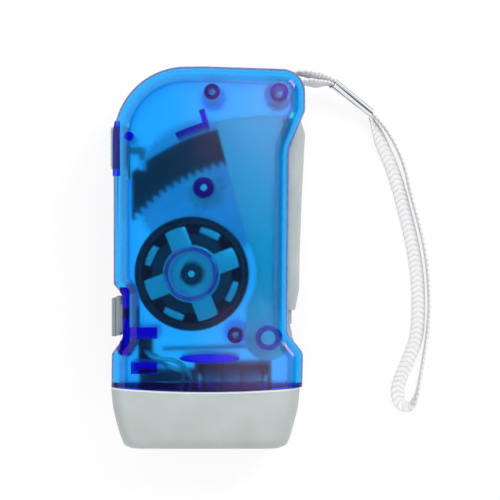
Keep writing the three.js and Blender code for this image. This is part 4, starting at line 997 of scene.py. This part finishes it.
# Bosses of the front shell: centre, then in millimetres the boss's radius, free end and sides, and its hole's radius,
# blind end and sides
FRONT_BOSSES = [
    (SCREWS[0], 2.2, SPLIT_FRONT, 48, 0.98, 31.6, 32),
    (SCREWS[1], 2.6, SPLIT_FRONT, 48, 1.45, 31.6, 32),
    (SCREWS[2], 2.2, SPLIT_FRONT, 48, 0.98, 31.6, 32),
    (GEAR_AXIS, 2.9, 17.8, 48, 1.05, 31.9, 32),
    (PIVOT, 3.45, 23.7, 64, 2.1, 31.9, 48),
]
# Bosses of the back shell beside those of the screws: centre, radius, free end and hole's radius
BACK_BOSSES = [(GEAR_AXIS, 2.9, 7.1, 1.05), (ROTOR_AXIS, 2.9, 6.8, 1.05), (PIVOT, 3.45, 10.3, 2.1)]


def front_half():
    """The front shell with its bosses, ribs and openings."""
    half = case_half("front_case", SPLIT_FRONT, 40)
    added = case_cheeks()
    cut_away = [slab("behind", (-30, -60, -5), (30, 60, SPLIT_FRONT))]
    for centre, radius, start, sides, hole, end, hole_sides in FRONT_BOSSES:
        added.append(bar("boss", centre, radius, start, FRONT, sides))
        cut_away.append(bar("hole", centre, hole, 10, end, hole_sides))
    bool_with(half, [*added, *switch_ribs(20, FRONT), joint_wall(24, FRONT), collar()], "UNION")
    bool_with(half, [*cut_away, *case_windows(), collar_groove()])
    return bool_with(half, [bar("peg", PEG, 1.25, 2.3, FRONT), rack_guide(), spring_rib()], "UNION")


def back_half():
    """The back shell with its bosses, ribs, openings and screw holes."""
    half = case_half("back_case", -5, SPLIT_BACK)
    added = case_cheeks()
    cut_away = [slab("before", (-30, -60, SPLIT_BACK), (30, 60, 40))]
    for centre in SCREWS:
        added += [bar("boss", centre, 3.5, BACK, 6), bar("boss", centre, 2.2, BACK, SPLIT_BACK)]
        cut_away += [bar("hole", centre, 2.5, -3, 4), bar("hole", centre, 1.2, -3, 20, 32)]
    for centre, radius, rise, hole in BACK_BOSSES:
        added.append(bar("boss", centre, radius, BACK, rise))
        cut_away.append(bar("hole", centre, hole, 2.1, 20, 40))
    bool_with(half, added + switch_ribs(BACK, 14), "UNION")
    return bool_with(half, cut_away + case_windows())


def mark_inside(piece):
    """Marks each point with how far it is from the case's outer skin, for the matt inner faces."""
    full_at = 0.4 * MM
    case = bpy.context.scene.torch_case
    skin = case_body("skin", 0, 0, case.edge_round)
    tree = BVHTree.FromPolygons([v.co for v in skin.data.vertices], [p.vertices for p in skin.data.polygons])
    bpy.data.objects.remove(skin, do_unlink=True)
    layer = piece.data.attributes.new("inside", "FLOAT", "POINT")
    for index, vertex in enumerate(piece.data.vertices):
        distance = tree.find_nearest(vertex.co)[3]
        layer.data[index].value = min(1.0, distance / full_at)


class TorchCase(bpy.types.Operator):
    """Moulds both clear shells, with their bosses, ribs and windows, and drives their screws"""

    bl_idname = "torch.case"
    bl_label = "Case shells"

    def execute(self, context):
        halves = ((front_half(), "clear_front", "front_shell"), (back_half(), "clear_back", "back_shell"))
        for piece, dye, node in halves:
            soften(piece)
            level_normals(piece)
            mark_inside(piece)
            fit(piece, dye, "case", node)
        for k in (1, 2, 3):
            fit(dressed(f"case_screw_{k}", 0.08), "zinc_steel", "case")
        return {"FINISHED"}


# ---- mechanism ----


def squeeze_lever():
    """The lever: painted near white inside the case, lighter than its grey plastic, against the shade there, and its
    grey grip outside it.
    """
    lever = dressed("squeeze_lever", 0.12)
    grip_from = Vector((21.4 * MM, 0, 0))
    pick(lever)
    edit((bpy.ops.mesh.bisect, {"plane_co": grip_from, "plane_no": (1, 0, 0)}))
    # The part inside the case is painted lighter than the grip, against the shade in the case
    fit(lever, "web_painted_light", "lever")
    lever.data.materials.append(finish_of("grey_abs"))
    for face in lever.data.polygons:
        face.material_index = int(face.center.x > grip_from.x)


def large_gear():
    """The large gear, its five round windows closed by a thin web."""
    gear = dressed("large_gear", 0.08)
    web = bar("web", GEAR_AXIS, 15.6, 8.3, 9.3, 96)
    bool_with(web, [bar("hole", GEAR_AXIS, 2, 0, 20, 48)])
    bool_with(gear, [web], "UNION")
    fit(soften(gear), "acetal", "gear_train")


def return_spring():
    """One wire: a leg along the case's rib, turns round the pivot and a leg up the lever."""
    radius, turns, pitch, bottom = 2.9 * MM, 3.25, 1.75 * MM, 13.45 * MM
    leg, drop, upright = 29.8 * MM, 0.8 * MM, 13 * MM
    points = [
        (PIVOT.x - leg * share, PIVOT.y - radius - drop * share, bottom) for share in (1, 0.75, 0.5, 0.25, 0.08, 0)
    ]
    count = round(turns * 16)
    for k in range(1, count + 1):
        angle = -math.pi / 2 + 2 * math.pi * turns * k / count
        height = bottom + pitch * turns * k / count
        points.append((PIVOT.x + radius * math.cos(angle), PIVOT.y + radius * math.sin(angle), height))
    points += [(PIVOT.x + radius, PIVOT.y + upright * share, height) for share in (0.08, 0.3, 0.65, 1)]
    spring = wire("spring_wire", points, 0.55 * MM, 5)
    paint(finish_of("bright_steel"), spring)
    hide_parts("return_spring")
    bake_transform(spring)


# Mechanism: frame solid, finish, body and slot
MECHANISM = [
    ("sector_rack", "black_nylon", "lever", "black_plastic"),
    ("drive_pinion", "white_acetal", "gear_train", "white_plastic"),
    ("gear_shaft", "bright_steel", "gear_train", "bright_steel"),
    ("flywheel_cup", "dark_steel", "rotor", "dark_steel"),
    ("ring_magnet", "ferrite", "rotor", "magnet"),
    ("rotor_shaft", "bright_steel", "rotor", "bright_steel"),
    ("flywheel_pinion", "acetal", "rotor", "white_plastic"),
    ("stator_front_plate", "stator_steel", "case", "stator_steel"),
    ("stator_back_plate", "stator_steel", "case", "stator_steel"),
    ("coil_bobbin", "black_nylon", "case", "black_plastic"),
    ("coil_winding", "copper", "case", "copper_wire"),
    ("front_bush", "black_nylon", "case", "black_plastic"),
]


class TorchMechanism(bpy.types.Operator):
    """Dresses the lever, gears and dynamo"""

    bl_idname = "torch.mechanism"
    bl_label = "Mechanism"

    def execute(self, context):
        squeeze_lever()
        large_gear()
        return_spring()
        for node, finish, body, slot in MECHANISM:
            fit(dressed(node, 0.1), finish, body)
        return {"FINISHED"}


# ---- lamp head ----

# Sections of the bezel: share of its length, then left, right and front-to-back shares of the case
BEZEL_SHARES = [
    (0, -0.978, 0.955, 0.01),
    (0.33, -0.957, 0.935, 0.025),
    (0.62, -0.917, 0.889, 0.055),
    (0.84, -0.875, 0.85, 0.09),
    (0.95, -0.843, 0.812, 0.13),
    (1, -0.79, 0.75, 0.165),
]
HEAD_X = -0.2025 * MM


def bezel_levels():
    """The bezel's sections on a smooth curve through its shares, with a rounded last edge."""
    count = 7
    levels = []
    for before, start, end, after in zip(
        [BEZEL_SHARES[0], *BEZEL_SHARES], BEZEL_SHARES, BEZEL_SHARES[1:], [*BEZEL_SHARES[2:], BEZEL_SHARES[-1]]
    ):
        for k in range(count):
            t = k / count
            level = [start[0] + (end[0] - start[0]) * t]
            for i in (1, 2, 3):
                rise = (end[0] - start[0]) or 1
                slope1 = (end[i] - before[i]) / ((end[0] - before[0]) or 1) * rise
                slope2 = (after[i] - start[i]) / ((after[0] - start[0]) or 1) * rise
                c2 = -3 * start[i] + 3 * end[i] - 2 * slope1 - slope2
                c3 = 2 * start[i] - 2 * end[i] + slope1 + slope2
                level.append(start[i] + slope1 * t + c2 * t * t + c3 * t**3)
            levels.append(level)
    return [*levels, BEZEL_SHARES[-1]]


def head_ring(left, right, low, high, corner, inset, y):
    """A ring across the torch with round corners, moved inwards by inset."""
    corners = [(left, low, corner), (right, low, corner), (right, high, corner), (left, high, corner)]
    return [(p.x, y, p.y) for p in corner_ring(corners, inset)]


def head_slab(name, *sizes):
    """A plate with round corners: width, height, corner and its ends' distances from the joint, in millimetres."""
    width, height, corner, start, end = (size * MM for size in sizes)
    low, high = 17 * MM - height / 2, 17 * MM + height / 2
    rings = [
        head_ring(HEAD_X - width / 2, HEAD_X + width / 2, low, high, corner, 0, JOINT_Y - y) for y in (start, end)
    ]
    return lofted(name, rings)


def bezel():
    """The grey bezel: a smooth tapering box whose joint bows towards the lens, hollow, with the lens's pocket."""
    case = bpy.context.scene.torch_case
    half, thickness, length = case.width / 2, case.thickness, 17.4 * MM

    def ring(level, inset, y):
        _, left, right, rise = level
        return head_ring(
            left * half, right * half, rise * thickness, (1 - rise) * thickness, case.edge_round, inset, y
        )

    first, third = BEZEL_SHARES[0], BEZEL_SHARES[2]
    outer = lofted("bezel_shell", [ring(level, 0, JOINT_Y - level[0] * length) for level in bezel_levels()])
    joint_centre = (0, JOINT_Y - JOINT_SAG - 0.1 * MM + JOINT_RADIUS * MM)
    bool_with(outer, [bar("joint", joint_centre, JOINT_RADIUS, -10, 50, JOINT_SIDES)])
    cavity = lofted("cavity", [ring(first, 3.5 * MM, JOINT_Y + 3 * MM), ring(third, 3.5 * MM, JOINT_Y - 8.9 * MM)])
    pocket = head_slab("pocket", 36, 20, 6, 6.9, 16.8)
    mouth = head_slab("mouth", 33, 17, 6, 15.2, 20)
    bool_with(outer, [cavity, pocket, mouth])
    soften(outer, 0.4, 3, 40)
    level_normals(outer)
    # Its finish paints a pale highlight along the edge at the joint
    fit(outer, "grey_abs_painted_highlight", "case", "lens_bezel")
    # Its end within the case's walls is dark, in millimetres
    end, middle, half_height, left, right = -36.7, 17, 14.9, -24.3, 23.7
    outer.data.materials.append(finish_of("black_nylon"))
    for face in outer.data.polygons:
        x, y, z = face.center / MM
        face.material_index = int(y > end and abs(z - middle) < half_height and left < x < right)


def battery_tray():
    """The tray of the cells, with a low wing towards the switch that the leads lie over."""
    tray = dressed("battery_tray", 0.12)
    wing = slab("wing", (-19.5, -41, 10.4), (-3, -31.3, 12))
    fit(soften(bool_with(tray, [wing], "UNION")), "tray_abs", "case")


# The leads' routes in millimetres, from the switch to the tray
LEAD_ROUTES = {
    "lead_wire_1": [
        (-16.9, -26.17, 21.2),
        (-16.2, -26.5, 24.5),
        (-15.1, -27.3, 27.6),
        (-12.9, -27.9, 29.2),
        (-10.7, -27.9, 29.6),
        (-8.5, -28.5, 29.4),
        (-6.8, -29.6, 28.4),
        (-5.4, -31.3, 26.4),
        (-4.7, -33.2, 23.2),
        (-4.6, -35.2, 19.6),
        (-5, -39.4, 17.2),
        (-5, -42.5, 17.2),
    ],
    "lead_wire_2": [
        (-15.1, -27.37, 17.4),
        (-13.9, -28, 18.6),
        (-12.7, -28.9, 22.4),
        (-11.5, -29.6, 26),
        (-9.6, -30.4, 27.4),
        (-7.9, -31, 26.8),
        (-6.7, -31.8, 24),
        (-6.6, -33.4, 19.6),
        (-7.1, -36, 16),
        (-7.6, -39.4, 15),
        (-7.6, -42.5, 15),
    ],
}


# Head: frame solid, finish and slot
HEAD = [
    ("lens", "clear_lens", "clear_lens"),
    ("reflector", "mirror", "mirror"),
    ("lamp_1", "clear_epoxy", "clear_lens"),
    ("lamp_2", "clear_epoxy", "clear_lens"),
    ("lamp_3", "clear_epoxy", "clear_lens"),
    ("lamp_board", "board", "board"),
    ("button_cell_1", "nickel_steel", "bright_steel"),
    ("button_cell_2", "nickel_steel", "bright_steel"),
    ("button_cell_3", "nickel_steel", "bright_steel"),
    ("contact_left", "zinc_steel", "bright_steel"),
    ("contact_right", "zinc_steel", "bright_steel"),
    ("slide_switch", "dark_steel", "dark_steel"),
]


class TorchHead(bpy.types.Operator):
    """Dresses the bezel, lens, lamps, cells and wiring"""

    bl_idname = "torch.head"
    bl_label = "Lamp head"

    def execute(self, context):
        bezel()
        battery_tray()
        for node, route in LEAD_ROUTES.items():
            lead = wire(f"{node}_sleeve", [Vector(point) * MM for point in route], 0.62 * MM, 6)
            fit(lead, "sleeve", "case", node)
        for node, finish, slot in HEAD:
            fit(dressed(node, 0.12), finish, "case")
        return {"FINISHED"}


# ---- sliders ----


def padded_slider(node, low, high):
    """A slider and the raised pad of its thumb grip, between two corners in millimetres."""
    slider = dressed(node, 0.12)
    pad = slab("pad", low, high)
    soften(pad, 0.3, 3)
    return slider, pad


def lock_slider():
    """The lock's slider, its ribbed pad standing proud of the case's side."""
    face, low, high, pitch, ribs = -26.9, 24.9, 36.5, 1.5, []
    slider, pad = padded_slider("lock_slider", (face, low, 12.2), (-25.2, high, 21.8))
    for k in range(7):
        bpy.ops.object.select_all(action="DESELECT")
        place = (face * MM, low * MM + (1.3 + pitch * k) * MM, 17 * MM)
        bpy.ops.mesh.primitive_cylinder_add(vertices=24, radius=0.25 * MM, depth=8.6 * MM, location=place)
        ribs.append(settle("rib"))
    bool_with(pad, ribs, "UNION")
    return soften(bool_with(slider, [pad], "UNION"))


def switch_knob():
    """The knob with a plain thumb pad over its ridges."""
    knob, pad = padded_slider("switch_knob", (-26.75, -22, 12.6), (-25.5, -11.2, 21.4))
    return soften(bool_with(knob, [pad], "UNION"))


class TorchSliders(bpy.types.Operator):
    """Dresses the lock slider and the switch knob"""

    bl_idname = "torch.sliders"
    bl_label = "Sliders"

    def execute(self, context):
        fit(lock_slider(), "grey_abs", "lock")
        fit(switch_knob(), "grey_abs", "switch")
        return {"FINISHED"}


# ---- stage ----


def floor_material(colour):
    """White paper: rays that look at it see plain white with a faint shadow, and light falls on it as on paper."""
    material, tree, surface = new_material("white_paper")
    surface.inputs["Base Color"].default_value = shade(colour, 0.9)
    surface.inputs["Roughness"].default_value = 0.9
    # Its glow seen outright and through the clear case, and the share of glow in what the camera sees outright
    plain, through_case, outright_share = 1.06, 1.25, 0.78
    ray = add_node(tree, "ShaderNodeLightPath").outputs
    strength = add_node(
        tree,
        "ShaderNodeMapRange",
        inputs={"To Min": plain, "To Max": through_case},
        links={"Value": ray["Is Transmission Ray"]},
    ).outputs["Result"]
    glow = add_node(tree, "ShaderNodeEmission", inputs={"Color": colour}, links={"Strength": strength})
    outright = add_node(
        tree, "ShaderNodeMath", {"operation": "MULTIPLY"}, inputs={1: outright_share}, links={0: ray["Is Camera Ray"]}
    ).outputs["Value"]
    through = add_node(
        tree,
        "ShaderNodeMath",
        {"operation": "MAXIMUM"},
        links={0: ray["Is Glossy Ray"], 1: ray["Is Transmission Ray"]},
    ).outputs["Value"]
    share = add_node(tree, "ShaderNodeMath", {"operation": "MAXIMUM"}, links={0: outright, 1: through})
    mixed = add_node(
        tree,
        "ShaderNodeMixShader",
        links={"Fac": share.outputs["Value"], 1: surface.outputs["BSDF"], 2: glow.outputs["Emission"]},
    )
    tree.links.new(mixed.outputs["Shader"], tree.nodes["Material Output"].inputs["Surface"])
    return material


# The sky's light by height
SKY_LEVELS = [(0.0, 0.3), (0.22, 0.6), (0.4, 1)]
# Dim parts of the sky: direction, where dimming starts and is full as one less the cosine, and what light is left.
# The first is the camera's, the second gives the crimp its dark band
SKY_HOLES = [((-0.02, 0.01, 1), 0.0072, 0.0036, 0.1), ((0.789, 0.028, 0.616), 0.075, 0.05, 0.12)]
# Soft windows in the sky, whose mirror images haze the case: direction, reach as an angle, fall and strength
SKY_WINDOWS = [((0.03, 0.075, 1), 0.085, 3, 3.4), ((0.009, -0.056, 1), 0.045, 2, 2.0)]


def sky_material(tree):
    """An even white tent, dimmer near the floor, with dim holes and soft windows."""
    way = add_node(tree, "ShaderNodeTexCoord").outputs["Generated"]
    rise = add_node(tree, "ShaderNodeSeparateXYZ", links={"Vector": way}).outputs["Z"]
    light = add_node(
        tree,
        "ShaderNodeValToRGB",
        links={"Fac": rise},
        stops=[(height, (level, level, level, 1)) for height, level in SKY_LEVELS],
    ).outputs["Color"]
    near = [
        add_node(
            tree,
            "ShaderNodeVectorMath",
            {"operation": "DOT_PRODUCT"},
            inputs={1: Vector(aim).normalized()},
            links={0: way},
        ).outputs["Value"]
        for aim, *_ in SKY_HOLES + SKY_WINDOWS
    ]
    for cosine, (_, first, last, least) in zip(near, SKY_HOLES):
        dim = add_node(
            tree,
            "ShaderNodeMapRange",
            inputs={"From Min": 1 - first, "From Max": 1 - last, "To Min": 1, "To Max": least},
            links={"Value": cosine},
        ).outputs["Result"]
        light = add_node(
            tree, "ShaderNodeVectorMath", {"operation": "SCALE"}, links={0: light, "Scale": dim}
        ).outputs["Vector"]
    for cosine, (_, reach, fall, peak) in zip(near[len(SKY_HOLES) :], SKY_WINDOWS):
        share = add_node(
            tree, "ShaderNodeMapRange", inputs={"From Min": 1 - reach**2 / 2, "From Max": 1}, links={"Value": cosine}
        ).outputs["Result"]
        soft = add_node(tree, "ShaderNodeMath", {"operation": "POWER"}, {1: fall}, {0: share}).outputs["Value"]
        light = add_node(
            tree,
            "ShaderNodeVectorMath",
            {"operation": "MULTIPLY_ADD"},
            inputs={1: (peak, peak, peak)},
            links={0: soft, 2: light},
        ).outputs["Vector"]
    sky = tree.nodes["Background"]
    tree.links.new(light, sky.inputs["Color"])
    sky.inputs["Strength"].default_value = 0.98


def add_lamp(name, place, aim, size, power):
    """A square lamp aimed at a point."""
    bpy.ops.object.light_add(type="AREA", location=place)
    lamp = bpy.context.object
    lamp.name = name
    lamp.data.size = size
    lamp.data.energy = power
    lamp.rotation_euler = (Vector(aim) - Vector(place)).to_track_quat("-Z", "Y").to_euler()


class TorchStage(bpy.types.Operator):
    """Lays the floor and hangs the lamps"""

    bl_idname = "torch.stage"
    bl_label = "Stage"

    def execute(self, context):
        stage = context.scene.torch_stage
        bpy.ops.mesh.primitive_plane_add(size=4, location=(0, 0, 0))
        floor = settle("floor")
        paint(floor_material(tuple(stage.floor)), floor)
        world = bpy.data.worlds.new("studio")
        context.scene.world = world
        world.use_nodes = True
        sky_material(world.node_tree)
        add_lamp("key", (0.3, 0.28, 0.5), (0, 0, 0), 0.22, 1.5)
        context.scene.view_settings.view_transform = "Standard"
        return {"FINISHED"}


class TorchPanel(bpy.types.Panel):
    """Lists the torch's pieces"""

    bl_idname = "VIEW3D_PT_torch"
    bl_label = "Torch"
    bl_space_type = "VIEW_3D"
    bl_region_type = "UI"
    bl_category = "Torch"

    def draw(self, context):
        for group in (context.scene.torch_case, context.scene.torch_strap, context.scene.torch_stage):
            box = self.layout.box()
            for key in group.__annotations__:
                box.prop(group, key)
        for operator in OPERATORS:
            self.layout.operator(operator.bl_idname)


SETTINGS = {
    "torch_case": TorchCaseSettings,
    "torch_strap": TorchStrapSettings,
    "torch_stage": TorchStageSettings,
}
OPERATORS = (TorchCamera, TorchStrap, TorchCase, TorchMechanism, TorchHead, TorchSliders, TorchStage)


def register():
    for settings in SETTINGS.values():
        bpy.utils.register_class(settings)
    for operator in OPERATORS:
        bpy.utils.register_class(operator)
    bpy.utils.register_class(TorchPanel)
    for name, settings in SETTINGS.items():
        setattr(bpy.types.Scene, name, bpy.props.PointerProperty(type=settings))


def unregister():
    for name in SETTINGS:
        delattr(bpy.types.Scene, name)
    for made in (TorchPanel, *OPERATORS, *SETTINGS.values()):
        bpy.utils.unregister_class(made)


def main():
    """Builds every piece in turn."""
    register()
    for name in ("camera", "strap", "case", "mechanism", "head", "sliders", "stage"):
        getattr(bpy.ops.torch, name)()


if __name__ == "__main__":
    main()
